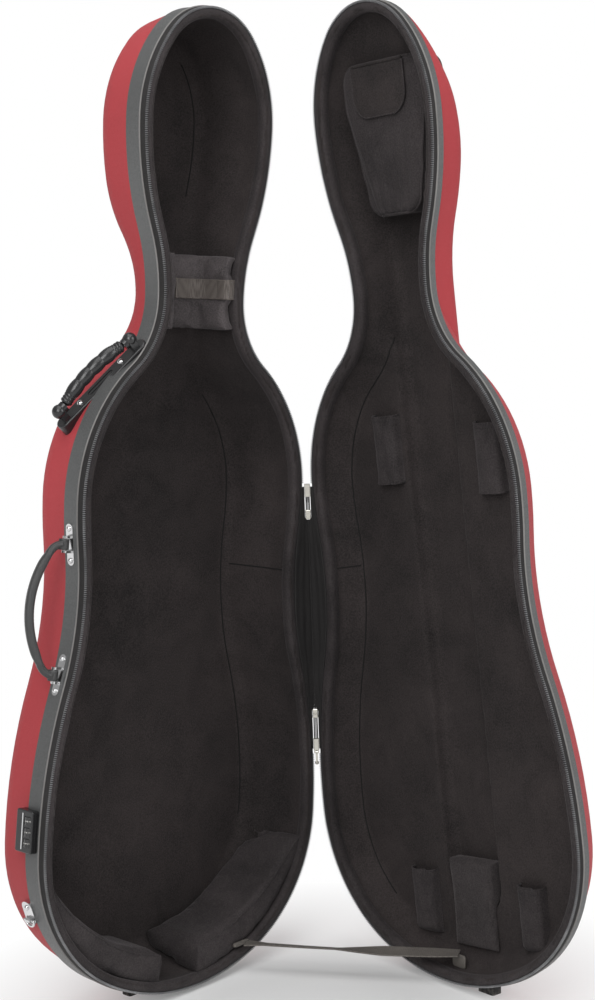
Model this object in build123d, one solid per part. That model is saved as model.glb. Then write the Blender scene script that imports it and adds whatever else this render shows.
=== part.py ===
from build123d import *
import os
from math import asin, atan2, cos, degrees, hypot, radians, sin, tan

# A hard cello case, standing open: a body shell and a lid shell of one outline,
# zipped together round the free side and hinged by a fabric gusset at the waist.
# All sizes are millimetres.  The case is drawn in its own coordinates: u across,
# v along its length from the bottom, w the depth from the closing plane.

# Outline: half widths across, and heights along the case as shares of its length
LENGTH = 1330.0
LOWER_HALF = 250.0
LOWER_AT = 0.167 * LENGTH
LOWER_TURN = 30.0
WAIST_HALF = 195.0
WAIST_AT = 0.432 * LENGTH
UPPER_HALF = 201.0
UPPER_AT = 0.513 * LENGTH
NECK_HALF = 72.5
NECK_AT = 0.714 * LENGTH
HEAD_HALF = 115.0
HEAD_AT = 0.887 * LENGTH
CROWN_TURN = 50.0
LOWER_TO_WAIST = 0.62
WAIST_TO_UPPER = 0.42
UPPER_TO_NECK = 0.66
NECK_TO_HEAD = 0.38

# Hinge line and the angle at which the case stands open
OPEN_ANGLE = 85.0
HINGE_GAP = 4.6
STANDING_HEIGHT = 7.0

# Walls of the shells, the same in body and lid
SHELL_INSET = 1.5
SHELL_WALL = 5.0
LINING_WALL = 7.5
RIM_START = 0.5
SHELL_START = 3.2

# Body shell
BODY_DEPTH = 130.0
BODY_BAND = 40.0
BODY_DRAFT = 12.0
BODY_ROUND = 50.0
BODY_LINING_ROUND = 20.0
BODY_DIP = 36.0
DIP_REACH = (165.0, 160.0)
TAPE_END_BODY = 12.0

# Lid shell: a shallow panel with a deep head and a raised ridge down the middle
LID_PANEL_DEPTH = 62.0
LID_BAND = 20.0
LID_DRAFT = 35.0
LID_ROUND = 16.0
RIDGE_DEPTH = 80.0
RIDGE_DRAFT = 16.0
RIDGE_ROUND = 30.0
RIDGE_BOTTOM = 62.0
CROWN_START = 70.0
CROWN_DROP = 40.0
TAPE_END_LID = 8.5

# Zip: coil teeth, woven tape, light piping bead
TEETH_INSET = 0.2
TEETH_WIDTH = 3.0
TEETH_START = 0.4
TEETH_END = 3.0
PIPING_WIDTH = 2.6
PIPING_PROUD = 1.5

# Fabric gusset on the hinge line, folded along a cord; heights above the floor
CORD_RADIUS = 1.1
CORD_GAP = 0.4
LOW_SLIDER = (LOWER_AT + 67.0, LOWER_AT + 84.0)
LOW_CHAIN = (LOWER_AT + 84.0, LOWER_AT + 128.0)
HIGH_CHAIN = (UPPER_AT - 55.0, UPPER_AT - 23.0)
HIGH_SLIDER = (UPPER_AT - 23.0, UPPER_AT - 5.0)
CHAIN_RADIUS = 1.9
STOP_HEIGHT = 13.0
SLIDER_RADIUS = 4.1
SLIDER_THICK = 5.0
PULL_WIDTH = 3.4
PULL_LENGTH = 16.0
PULL_BALL = 2.9
PULL_PIN = 0.8
PULL_EYE = 2.3
PULL_GAP = 0.4
LUG_LENGTH = 5.0

# Neck support in the body: a padded U, and its webbing strap
CRADLE_LOW = NECK_AT - 45.0
CRADLE_HIGH = NECK_AT + 60.0
CRADLE_FRONT = 8.0
CRADLE_SIDE = 13.0
CRADLE_FLOOR = 16.0
CRADLE_ROUND = 22.0
WEB_WIDTH = 27.0
WEB_THICK = 2.0
WEB_AT = NECK_AT + 12.0
WEB_FOLD = 14.0

# Bottom bolsters in the body, with a gap for the endpin between them
BOLSTER_FRONT = 4.0
BOLSTER_RADIUS = 257.0
BOLSTER_SEAT = 57.0
BOLSTER_TOP = 190.0
ENDPIN_GAP = 62.0

# Foam block in the lid
BLOCK_LOW = 40.0
BLOCK_HIGH = 166.0
BLOCK_HALF = 43.0
BLOCK_FRONT = 41.0
BLOCK_ROUND = 6.0

# Bow holders on the lid panel, upper pair and lower pair
BOW_WIDTH = 47.0
BOW_LENGTH = 94.0
BOW_RISE = 17.0
BOW_WALL = 2.2
BOW_ROUND = 6.0
BOW_POCKETS_AT = 97.0
BOW_PLACES = {
    "bow_loop_hinge_side": (-80.0, UPPER_AT + 54.0),
    "bow_loop_free_side": (116.0, UPPER_AT + 40.0),
    "bow_pocket_hinge_side": (-94.0, BOW_POCKETS_AT),
    "bow_pocket_free_side": (114.0, BOW_POCKETS_AT),
}

# Accessory pouch in the lid's head: mouth in its front, hanging flap over the mouth
POUCH_LOW = HEAD_AT - 130.0
POUCH_HIGH = HEAD_AT + 72.0
POUCH_TOP_HALF = 76.0
POUCH_LOW_HALF = 42.0
POUCH_SHOULDER = HEAD_AT + 15.0
POUCH_FRONT = 22.0
POUCH_WALL = 2.2
POUCH_ROUND = 10.0
MOUTH_LOW = HEAD_AT + 22.0
MOUTH_HIGH = HEAD_AT + 60.0
MOUTH_HALF = 43.0
FLAP_LENGTH = 70.0
FLAP_HALF = 50.0
FLAP_THICK = 2.6
FLAP_BEAD = 2.2
FLAP_GAP = 0.4

# Shoulder handle: moulded base with two ball ears, hinged grip with finger grooves
SHOULDER_LOW = NECK_AT - 165.0
SHOULDER_HIGH = NECK_AT - 70.0
SHOULDER_DEPTH = 46.0
SHOULDER_SLANT = 18.0
BASE_LENGTH = 138.0
BASE_WIDTH = 23.0
BASE_THICK = 5.0
BASE_EDGE = 2.0
EMBOSS_LENGTH = 46.0
EMBOSS_WIDTH = 9.0
EMBOSS_LINE = 2.5
EMBOSS_SINK = 0.8
EAR_SPAN = 130.0
EAR_THICK = 9.0
BALL_RADIUS = 9.5
PIN_HEIGHT = 19.0
PIN_RADIUS = 2.5
PIN_LENGTH = 13.0
GRIP_RADIUS = 8.2
GRIP_BOW = 9.0
GRIP_LOBES = 4
LOBE_LENGTH = 20.0
LOBE_RISE = 1.4
GRIP_RIDGES = 3
RIDGE_PITCH = 4.0
RIDGE_RISE = 0.8
COLLAR_LENGTH = 5.0
FIT_GAP = 0.3
RIVET_RADIUS = 3.6
RIVET_AT = 38.0

# Side handle: leather grip on two chrome brackets
SIDE_LOW = WAIST_AT - 117.0
SIDE_HIGH = WAIST_AT + 53.0
SIDE_DEPTH = 27.0
SIDE_TILT = 35.0
SIDE_RISE = 38.0
SIDE_TURN = 32.0
SIDE_THICK = 13.0
SIDE_WIDTH = 17.0
SIDE_ROUND = 4.5
LOOP_RADIUS = 6.2
LOOP_LENGTH = 15.0
BRACKET_LENGTH = 55.0
BRACKET_WIDTH = 13.0
BRACKET_THICK = 2.0
BRACKET_POST = 3.0
BAR_RADIUS = 2.2
BAR_HEIGHT = 11.0

# Combination lock
LOCK_AT = LOWER_AT + 34.0
LOCK_DEPTH = 33.0
LOCK_LENGTH = 56.0
LOCK_WIDTH = 32.0
LOCK_THICK = 10.5
LOCK_ROUND = 3.0
DIAL_RADIUS = 6.2
DIAL_WIDTH = 10.5
DIAL_PITCH = 14.5
DIAL_OFFSET = 7.0
DIAL_HEIGHT = 7.0
DIAL_FACETS = 10
SPINDLE_RADIUS = 1.5
TRIM_WIDTH = 2.0

# Strap ring on the lower bout
RING_AT = LOWER_AT - 81.0
RING_DEPTH = 47.0
RING_PLATE = (36.0, 20.0, 2.4)
RING_HALF = 9.0
RING_WIRE = 1.7
RING_HEIGHT = 5.0

# Feet under each shell
FOOT_SPREAD = 62.0
FOOT_SIZE = (30.0, 18.0)
BODY_FOOT_DEPTH = 66.0
LID_FOOT_DEPTH = 30.0

# Webbing stay that stops the lid; distances from the hinge line
STAY_WIDTH = 25.0
STAY_THICK = 2.0
STAY_HEIGHT = 44.0
STAY_BODY = 165.0
STAY_LID = 262.0
STAY_LID_DEPTH = 22.0
STAY_TAB = 6.0


def quarter_radii(half, height, turn):
    """Radii of the two arcs from the middle line to a side, meeting at a turn angle."""
    s = sin(radians(turn))
    c = cos(radians(turn))
    det = s + c - 1
    end = (half * c - height * (1 - s)) / det
    side = (height * s - half * (1 - c)) / det
    return end, side


def s_curve(low, high, share):
    """Two tangent arcs between two points whose tangents both run along the case."""
    du = high[0] - low[0]
    dv = high[1] - low[1]
    total = (du * du + dv * dv) / (2 * abs(du))
    turn = degrees(2 * atan2(abs(du), dv))
    first = share * total
    second = (1 - share) * total
    if du < 0:
        lower = (low[0] - first, low[1], first, 0, turn)
        upper = (high[0] + second, high[1], -second, 180 + turn, 180)
    else:
        lower = (low[0] + first, low[1], -first, 180, 180 - turn)
        upper = (high[0] - second, high[1], second, -turn, 0)
    return [lower, upper]


def head_arcs():
    """Arcs of the free side from the neck to the crown: centre, radius, angles.
    A negative radius marks a hollow arc."""
    end, side = quarter_radii(HEAD_HALF, LENGTH - HEAD_AT, CROWN_TURN)
    arcs = s_curve((NECK_HALF, NECK_AT), (HEAD_HALF, HEAD_AT), NECK_TO_HEAD)
    arcs.append((HEAD_HALF - side, HEAD_AT, side, 0, 90 - CROWN_TURN))
    arcs.append((0, LENGTH - end, end, 90 - CROWN_TURN, 90))
    return arcs


def case_arcs():
    """Arcs of the free side of the whole outline, bottom to top."""
    end, side = quarter_radii(LOWER_HALF, LOWER_AT, LOWER_TURN)
    arcs = [
        (0, end, end, -90, LOWER_TURN - 90),
        (LOWER_HALF - side, LOWER_AT, side, LOWER_TURN - 90, 0),
    ]
    waist = (WAIST_HALF, WAIST_AT)
    upper = (UPPER_HALF, UPPER_AT)
    arcs += s_curve((LOWER_HALF, LOWER_AT), waist, LOWER_TO_WAIST)
    arcs += s_curve(waist, upper, WAIST_TO_UPPER)
    arcs += s_curve(upper, (NECK_HALF, NECK_AT), UPPER_TO_NECK)
    return arcs + head_arcs()


def ridge_arcs():
    """The ridge follows the head and neck, then runs straight down the panel."""
    end, side = quarter_radii(NECK_HALF, NECK_HALF, LOWER_TURN)
    base = RIDGE_BOTTOM
    arcs = [
        (0, base + end, end, -90, LOWER_TURN - 90),
        (NECK_HALF - side, base + NECK_HALF, side, LOWER_TURN - 90, 0),
    ]
    return arcs + head_arcs()


def on_arc(arc, angle, grow):
    """A point on an arc after the whole outline has grown outwards."""
    cu, cv, radius, _, _ = arc
    reach = abs(radius) + (grow if radius > 0 else -grow)
    return (cu + reach * cos(radians(angle)), cv + reach * sin(radians(angle)))


def closed_face(arcs, grow):
    """Face inside the arcs and their mirror images."""
    edges = []
    last = None
    for arc in arcs:
        start = on_arc(arc, arc[3], grow)
        middle = on_arc(arc, (arc[3] + arc[4]) / 2, grow)
        finish = on_arc(arc, arc[4], grow)
        if last and hypot(start[0] - last[0], start[1] - last[1]) > 0.01:
            edges.append(Edge.make_line(last, start))
        edges.append(Edge.make_three_point_arc(start, middle, finish))
        last = finish
    mirrored = [edge.mirror(Plane.YZ) for edge in edges]
    return Face(Wire(edges + mirrored))


def outline(grow):
    return closed_face(case_arcs(), grow)


def ridge(grow):
    return closed_face(ridge_arcs(), grow)


def ring(outer, inner, start, stop):
    """Band round the outline between two insets and two depths."""
    face = outline(-outer) - outline(-inner)
    return extrude(Pos(0, 0, start) * face, stop - start)


def s_bend(start, finish):
    """Two equal arcs between two points of a side profile, level at both ends."""
    dv = finish[0] - start[0]
    dw = finish[1] - start[1]
    radius = (dv * dv + dw * dw) / (4 * abs(dw))
    half_turn = atan2(abs(dw), dv)
    step_v = radius * sin(half_turn)
    step_w = radius * (1 - cos(half_turn)) * (1 if dw > 0 else -1)
    middle = ((start[0] + finish[0]) / 2, (start[1] + finish[1]) / 2)
    first = Edge.make_three_point_arc(start, (start[0] + step_v, start[1] + step_w), middle)
    second = Edge.make_three_point_arc(middle, (finish[0] - step_v, finish[1] - step_w), finish)
    return [first, second]


def side_profile(stations):
    """Everything in front of a back surface whose depth changes along the case."""
    edges = []
    for start, finish in zip(stations, stations[1:]):
        if start[1] == finish[1]:
            edges.append(Edge.make_line(start, finish))
        else:
            edges += s_bend(start, finish)
    first = stations[0]
    last = stations[-1]
    edges.append(Edge.make_line(last, (last[0], 0)))
    edges.append(Edge.make_line((last[0], 0), (first[0], 0)))
    edges.append(Edge.make_line((first[0], 0), first))
    return extrude(Plane.YZ.location * Face(Wire(edges)), 2 * LOWER_HALF, both=True)


def back_round(solid, radius):
    """Round the edge between the drafted walls and the back surface."""
    back = [face for face in solid.faces() if face.normal_at(face.center()).Z > 0.7]
    rims = {}
    for face in back:
        for edge in face.outer_wire().edges():
            middle = edge.position_at(0.5)
            place = (round(middle.X, 2), round(middle.Y, 2), round(middle.Z, 2))
            rims.setdefault(place, []).append(edge)
    once = ShapeList([edges[0] for edges in rims.values() if len(edges) == 1])
    return fillet(once, radius)


def drafted(shape, inset, start, stop, draft):
    """Wall that leans inwards from one depth to another."""
    lean_in = (stop - start) * tan(radians(draft))
    low = Pos(0, 0, start) * shape(-inset)
    high = Pos(0, 0, stop) * shape(-inset - lean_in)
    return Solid.make_loft([low.outer_wire(), high.outer_wire()], ruled=True)


def body_volume(inset, start, depth, radius):
    """Everything inside one surface of the body: straight rim, drafted wall, rounding."""
    straight = extrude(Pos(0, 0, start) * outline(-inset), BODY_BAND - start)
    wall = drafted(outline, inset, BODY_BAND, depth, BODY_DRAFT)
    back = side_profile([
        (-LOWER_AT, depth),
        (NECK_AT - DIP_REACH[0], depth),
        (NECK_AT, depth - BODY_DIP),
        (NECK_AT + DIP_REACH[1], depth),
        (LENGTH + LOWER_AT, depth),
    ])
    return back_round((straight + wall) & back, radius)


def lid_volume(inset, start, less):
    """The same for the lid; its two depths are less by the wall at this surface."""
    panel_depth = LID_PANEL_DEPTH - less
    ridge_depth = RIDGE_DEPTH - less
    back = side_profile([
        (-LOWER_AT, ridge_depth),
        (HEAD_AT - CROWN_START, ridge_depth),
        (LENGTH, ridge_depth - CROWN_DROP),
        (LENGTH + LOWER_AT, ridge_depth - CROWN_DROP),
    ])
    straight = extrude(Pos(0, 0, start) * outline(-inset), LID_BAND - start)
    panel = drafted(outline, inset, LID_BAND, panel_depth, LID_DRAFT)
    panel = back_round((straight + panel) & back, LID_ROUND)
    crest = drafted(ridge, inset, LID_BAND, ridge_depth, RIDGE_DRAFT)
    crest = back_round(crest & back, RIDGE_ROUND - less)
    return panel + crest


LINING_INSET = SHELL_INSET + SHELL_WALL
CAVITY_INSET = LINING_INSET + LINING_WALL
WALL = SHELL_WALL + LINING_WALL
PIPING_END_BODY = TAPE_END_BODY + PIPING_WIDTH
PIPING_END_LID = TAPE_END_LID + PIPING_WIDTH

# The hinge line touches the lower and the upper bout, so the case's own middle line
# leans from it by the angle of that common tangent.
LOWER_SIDE_ARC = case_arcs()[2]
UPPER_SIDE_ARC = case_arcs()[5]
BOUT_RUN = UPPER_SIDE_ARC[1] - LOWER_SIDE_ARC[1]
BOUT_STEP = UPPER_SIDE_ARC[0] - LOWER_SIDE_ARC[0]
BOUT_GROWTH = LOWER_SIDE_ARC[2] - UPPER_SIDE_ARC[2]
LEAN = degrees(asin(BOUT_GROWTH / hypot(BOUT_RUN, BOUT_STEP)) - atan2(BOUT_STEP, BOUT_RUN))


def rim_distance(u, v):
    """Distance from the hinge line, before the hinge gap is set."""
    return u * cos(radians(LEAN)) - v * sin(radians(LEAN))


def rim_height(u, v):
    return v * cos(radians(LEAN)) + u * sin(radians(LEAN))


BOUT_REACH = rim_distance(-LOWER_SIDE_ARC[0], LOWER_SIDE_ARC[1]) - LOWER_SIDE_ARC[2]
HINGE_OFFSET = HINGE_GAP - BOUT_REACH
BOTTOM_RADIUS = case_arcs()[0][2]
LOWEST_U = -BOTTOM_RADIUS * sin(radians(LEAN))
LIFT = STANDING_HEIGHT - rim_height(0, BOTTOM_RADIUS) + BOTTOM_RADIUS

# Case coordinates to the world: the closing plane of the body is the plane y = 0,
# its free side towards -x, the hinge line on the z axis.
RIM_PLANE = Plane(origin=(0, 0, 0), x_dir=(-1, 0, 0), z_dir=(0, 1, 0))
BODY_PLACE = RIM_PLANE.location * Location((HINGE_OFFSET, LIFT, 0), (0, 0, LEAN))


def body(shape):
    return BODY_PLACE * shape


def lid(shape):
    """The lid is drawn as the body is, mirrored in the closing plane and swung open."""
    closed = (BODY_PLACE * shape).mirror(Plane.XZ)
    return Rot(0, 0, OPEN_ANGLE) * closed


def side_point(v, arcs):
    """Point of the free side at a height along the case, with its outward angle."""
    for arc in arcs:
        cu, cv, radius, start, stop = arc
        low = on_arc(arc, start, 0)[1]
        high = on_arc(arc, stop, 0)[1]
        if low <= v <= high:
            rise = (v - cv) / abs(radius)
            if radius > 0:
                angle = degrees(asin(rise))
                return cu + radius * cos(radians(angle)), angle
            angle = -degrees(asin(rise))
            return cu - abs(radius) * cos(radians(angle)), angle
    raise ValueError("no outline at this height")


def wall_frame(v, w, proud=0.0):
    """Local frame on the free side: x up along the wall, y into the depth, z outwards."""
    u, angle = side_point(v, case_arcs())
    nu = cos(radians(angle))
    nv = sin(radians(angle))
    origin = (u + nu * proud, v + nv * proud, w)
    return Plane(origin=origin, x_dir=(-nv, nu, 0), z_dir=(nu, nv, 0)).location


def centred_box(x, y, z, at=(0, 0, 0)):
    """Box standing on z = at[2]."""
    return Pos(*at) * Box(x, y, z, align=(Align.CENTER, Align.CENTER, Align.MIN))


def rod(radius, length, axis="Z"):
    turn = {"X": Rot(0, 90, 0), "Y": Rot(90, 0, 0), "Z": Rot(0, 0, 0)}[axis]
    return turn * Cylinder(radius, length)


# Shells, linings and the strips round their rims

def body_shell_volume():
    return body_volume(SHELL_INSET, SHELL_START, BODY_DEPTH, BODY_ROUND)


def body_core(start):
    return body_volume(
        LINING_INSET, start, BODY_DEPTH - SHELL_WALL, BODY_ROUND - SHELL_WALL
    )


def body_cavity(start):
    return body_volume(CAVITY_INSET, start, BODY_DEPTH - WALL, BODY_LINING_ROUND)


def lid_shell_volume():
    return lid_volume(SHELL_INSET, SHELL_START, 0)


def lid_core(start):
    return lid_volume(LINING_INSET, start, SHELL_WALL)


def lid_cavity(start):
    return lid_volume(CAVITY_INSET, start, WALL)


def piping(start):
    return ring(-PIPING_PROUD, SHELL_INSET, start, start + PIPING_WIDTH)


def opened(closed):
    return Rot(0, 0, OPEN_ANGLE) * closed


def shut_lid(shape):
    return (BODY_PLACE * shape).mirror(Plane.XZ)


def span(x, y, z):
    """Box between two limits on each axis."""
    size = (x[1] - x[0], y[1] - y[0], z[1] - z[0])
    return Pos(x[0], y[0], z[0]) * Box(*size, align=(Align.MIN,) * 3)


def lid(shape):
    """The lid is drawn as the body is, mirrored in the closing plane and swung open."""
    return opened(shut_lid(shape))


parts = {}

# Shells with their linings
parts["body_shell"] = body(body_shell_volume() - body_core(0))
parts["body_lining"] = body(body_core(RIM_START) - body_cavity(0))
parts["lid_shell"] = lid(lid_shell_volume() - lid_core(0))
parts["lid_lining"] = lid(lid_core(RIM_START) - lid_cavity(0))

# Strips round the rims: zip coil, zip tape, piping, vinyl band
GUSSET_ZONE = span((-WAIST_HALF, 8), (-20, 20), (LOW_SLIDER[0], HIGH_SLIDER[1]))
TEETH = ring(TEETH_INSET, TEETH_INSET + TEETH_WIDTH, TEETH_START, TEETH_END)
parts["body_zip_teeth"] = body(TEETH) - GUSSET_ZONE
parts["lid_zip_teeth"] = opened(shut_lid(TEETH) - GUSSET_ZONE)
parts["body_zip_tape"] = body(ring(0, SHELL_INSET, TEETH_END, TAPE_END_BODY))
parts["lid_zip_tape"] = lid(ring(0, SHELL_INSET, TEETH_END, TAPE_END_LID))
parts["body_piping"] = body(piping(TAPE_END_BODY))
parts["lid_piping"] = lid(piping(TAPE_END_LID))
parts["body_band"] = body(ring(0, SHELL_INSET, PIPING_END_BODY, BODY_BAND))
parts["lid_band"] = lid(ring(0, SHELL_INSET, PIPING_END_LID, LID_BAND))


# Hinge gusset, its cord, the zip ends and sliders on the hinge line

def upright(radius, low, high):
    return Pos(0, 0, low) * Cylinder(radius, high - low, align=(Align.CENTER,) * 2 + (Align.MIN,))


def slider(low, high):
    """Slider body: a flattened barrel across the opening of the rims."""
    barrel = upright(SLIDER_RADIUS, low, high)
    plates = Pos(0, 0, low) * Box(
        SLIDER_RADIUS * 2, SLIDER_THICK, high - low, align=(Align.CENTER, Align.CENTER, Align.MIN)
    )
    return Rot(0, 0, OPEN_ANGLE / 2 - 90) * (barrel & plates)


def chain(low, high, stop_low):
    """Closed end of the zip coil with its end stop."""
    coil = upright(CHAIN_RADIUS, low, high)
    at = low if stop_low else high - STOP_HEIGHT
    return coil + slider(at, at + STOP_HEIGHT)


parts["zip_slider_low"] = slider(*LOW_SLIDER)
parts["zip_slider_high"] = slider(*HIGH_SLIDER)
parts["zip_end_low"] = chain(*LOW_CHAIN, False)
parts["zip_end_high"] = chain(*HIGH_CHAIN, True)
parts["hinge_cord"] = upright(CORD_RADIUS, LOW_CHAIN[1], HIGH_CHAIN[0])

INNER_EDGE = extrude(outline(-TEETH_INSET - TEETH_WIDTH), 20)
leaf = span((-WAIST_HALF, 0), (TEETH_START, TEETH_END), (LOW_SLIDER[0], HIGH_SLIDER[1]))
leaf = leaf - body(INNER_EDGE)
for name in ("zip_slider_low", "zip_slider_high", "zip_end_low", "zip_end_high", "hinge_cord"):
    leaf = leaf - parts[name]
parts["gusset_body"] = leaf.solids().sort_by(SortBy.VOLUME)[-1]
leaf = span((-WAIST_HALF, -HINGE_GAP), (-TEETH_END, -TEETH_START), (LOW_SLIDER[0], HIGH_SLIDER[1]))
fold = span(
    (-WAIST_HALF, -CORD_RADIUS - CORD_GAP), (-TEETH_END, -TEETH_START), (LOW_CHAIN[1] + 1, HIGH_CHAIN[0] - 1)
)
parts["gusset_lid"] = opened(leaf + fold - shut_lid(INNER_EDGE))

# Zip pulls: the lower one hangs below its slider, the upper one on its outer side

def pull(sphere_end):
    """Pull drawn hanging from its pin; x along the pin, z up, pin at the origin."""
    eye = rod(PULL_EYE, PULL_WIDTH, "X")
    tongue = centred_box(PULL_WIDTH, 1.8, PULL_LENGTH, (0, 0, -PULL_LENGTH))
    shape = eye + tongue - rod(PULL_PIN + PULL_GAP, PULL_WIDTH + 2, "X")
    if sphere_end:
        shape += Pos(0, 0, -PULL_LENGTH) * Sphere(PULL_BALL)
    return shape


def lug(reach):
    """Two cheeks and a pin; z up to the slider, pin at the origin."""
    gap = PULL_WIDTH / 2 + PULL_GAP
    cheek = centred_box(LUG_LENGTH / 2 + 1 - gap, 3.2, reach + 1.6, (0, 0, -1.6))
    half = (LUG_LENGTH / 2 + 1 + gap) / 2
    return Pos(-half, 0, 0) * cheek + Pos(half, 0, 0) * cheek + rod(PULL_PIN, LUG_LENGTH + 1, "X")


BISECT = Rot(0, 0, OPEN_ANGLE / 2 - 90)
LOW_PIN = Pos(0, 0, LOW_SLIDER[0] - PULL_EYE - 0.8) * BISECT
HIGH_PIN = BISECT * Pos(0, SLIDER_THICK / 2 + PULL_EYE + 0.8, HIGH_SLIDER[0] + 9)
parts["zip_slider_low"] += LOW_PIN * lug(PULL_EYE + 0.8)
parts["zip_slider_high"] += HIGH_PIN * Rot(90, 0, 0) * lug(PULL_EYE + 0.8)
parts["zip_pull_low"] = LOW_PIN * pull(True)
parts["zip_pull_high"] = HIGH_PIN * pull(True)


# Padded neck support with its strap

NECK_FLOOR = BODY_DEPTH - WALL - BODY_DIP
NECK_INSIDE = NECK_HALF - CAVITY_INSET
CHANNEL = NECK_INSIDE - CRADLE_SIDE


def channel(inset, limits):
    """Trough for the neck, rounded at the bottom, between two limits along the case."""
    trough = span(
        (-CHANNEL + inset, CHANNEL - inset), limits, (-CRADLE_ROUND, NECK_FLOOR - CRADLE_FLOOR - inset)
    )
    return fillet(trough.edges().filter_by(Axis.Y).group_by(Axis.Z)[-1], CRADLE_ROUND - inset)


cavity = body_cavity(0)
cradle_block = span((-LOWER_HALF, LOWER_HALF), (CRADLE_LOW, CRADLE_HIGH), (CRADLE_FRONT, BODY_DEPTH))
cradle = (cradle_block & cavity) - channel(0, (CRADLE_LOW - 5, CRADLE_HIGH + 5))
parts["neck_cradle"] = body(cradle)
web = (WEB_AT - WEB_WIDTH / 2, WEB_AT + WEB_WIDTH / 2)
in_front = span((-LOWER_HALF, LOWER_HALF), (0, LENGTH), (-CRADLE_ROUND - 1, CRADLE_FRONT))
strap_side = channel(0, web) - channel(WEB_THICK, (web[0] - 1, web[1] + 1)) - in_front
strap_top = span((-NECK_INSIDE, -CHANNEL + WEB_THICK), web, (CRADLE_FRONT - WEB_THICK, CRADLE_FRONT))
parts["neck_strap"] = body((strap_side + strap_top) & cavity)
strap_fold = span(
    (-CHANNEL + WEB_THICK, -CHANNEL + 2 * WEB_THICK), web, (CRADLE_FRONT, CRADLE_FRONT + WEB_FOLD)
)
parts["neck_strap_end"] = body(strap_fold)


# Bottom bolsters

def bolster(side):
    block = span((0, LOWER_HALF), (-10, BOLSTER_TOP), (BOLSTER_FRONT, BODY_DEPTH))
    block = block - span((0, ENDPIN_GAP / 2), (-20, BOLSTER_TOP), (0, BODY_DEPTH + 1))
    hollow = Pos(0, BOLSTER_SEAT + BOLSTER_RADIUS, BODY_DEPTH / 2) * Cylinder(BOLSTER_RADIUS, BODY_DEPTH * 2)
    block = (block - hollow) & cavity
    return body(block if side > 0 else block.mirror(Plane.YZ))


parts["bolster_free_side"] = bolster(1)
parts["bolster_hinge_side"] = bolster(-1)


# Lid furniture: foam block, bow holders, accessory pouch with its flap

room = lid_cavity(0)
block = span((-BLOCK_HALF, BLOCK_HALF), (BLOCK_LOW, BLOCK_HIGH), (BLOCK_FRONT, RIDGE_DEPTH))
block = fillet(block.edges().group_by(Axis.Z)[0], BLOCK_ROUND)
parts["foam_block"] = lid(block & room)
PANEL_FLOOR = LID_PANEL_DEPTH - WALL


def bow_holder(open_below):
    """Padded sleeve on the panel, open at one end or at both."""
    outer = centred_box(BOW_WIDTH, BOW_LENGTH, BOW_RISE + 20, (0, 0, -BOW_RISE))
    outer = fillet(outer.edges().group_by(Axis.Z)[0].filter_by(Axis.Y), BOW_ROUND)
    inner = centred_box(
        BOW_WIDTH - 2 * BOW_WALL, BOW_LENGTH, BOW_RISE + 30, (0, 0 if open_below else BOW_WALL, BOW_WALL - BOW_RISE)
    )
    inner = fillet(inner.edges().group_by(Axis.Z)[0].filter_by(Axis.Y), BOW_ROUND - BOW_WALL)
    if open_below:
        inner = Pos(0, -1, 0) * inner + Pos(0, 1, 0) * inner
    return outer - inner


for name, place in BOW_PLACES.items():
    holder = Pos(place[0], place[1], PANEL_FLOOR) * bow_holder("loop" in name)
    holder = holder & room
    parts[name] = lid(holder.solids().sort_by(SortBy.VOLUME)[-1])


def pouch_outline(inset):
    top = POUCH_TOP_HALF - inset
    low = POUCH_LOW_HALF - inset
    right = [(low, POUCH_LOW + inset), (top, POUCH_SHOULDER), (top, POUCH_HIGH - inset)]
    left = [(-u, v) for u, v in reversed(right)]
    shape = make_face(Polyline(*right, *left, close=True))
    return fillet(shape.vertices(), POUCH_ROUND + 12 - inset)


outer = extrude(Pos(0, 0, POUCH_FRONT) * pouch_outline(0), RIDGE_DEPTH)
inner = extrude(Pos(0, 0, POUCH_FRONT + POUCH_WALL) * pouch_outline(POUCH_WALL), RIDGE_DEPTH)
mouth = span((-MOUTH_HALF, MOUTH_HALF), (MOUTH_LOW, MOUTH_HIGH), (0, POUCH_FRONT + 5))
parts["accessory_pouch"] = lid((outer - inner - mouth) & room)

FLAP_AXIS = (POUCH_HIGH - FLAP_BEAD, POUCH_FRONT - FLAP_BEAD - FLAP_GAP)
flap = span(
    (-FLAP_HALF, FLAP_HALF),
    (FLAP_AXIS[0] - FLAP_LENGTH, FLAP_AXIS[0]),
    (FLAP_AXIS[1] - FLAP_THICK / 2, FLAP_AXIS[1] + FLAP_THICK / 2),
)
flap = fillet(flap.edges().filter_by(Axis.Z).group_by(Axis.Y)[0], FLAP_HALF * 0.6)
flap = flap + Pos(0, FLAP_AXIS[0], FLAP_AXIS[1]) * rod(FLAP_BEAD, FLAP_HALF * 2, "X")
parts["pouch_flap"] = lid(flap)


# Fittings on the outside of the free side

def chord_frame(low, high, w, slant=0.0):
    """Frame on a chord of the free side: x up along it, y into the depth, z outwards."""
    low_u = side_point(low, case_arcs())[0]
    high_u = side_point(high, case_arcs())[0]
    run = hypot(high_u - low_u, high - low)
    cu = (high_u - low_u) / run
    cv = (high - low) / run
    middle = ((low_u + high_u) / 2, (low + high) / 2, w)
    plane = Plane(origin=middle, x_dir=(cu, cv, 0), z_dir=(cv, -cu, 0))
    return plane.location * Rot(0, 0, -slant)


WALL_SLAB = extrude(outline(0), BODY_BAND)
SHELL_BLOCK = body_shell_volume()
PIPING = piping(TAPE_END_BODY)


def off_wall(shape):
    """Trim the underside of a fitting to the outside of the body's wall."""
    trimmed = shape - WALL_SLAB - SHELL_BLOCK - PIPING
    return trimmed.solids().sort_by(SortBy.VOLUME)[-1]


def slot_plate(length, width, low, high):
    """Plate with round ends."""
    return extrude(Pos(0, 0, low) * SlotOverall(length, width), high - low)


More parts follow.
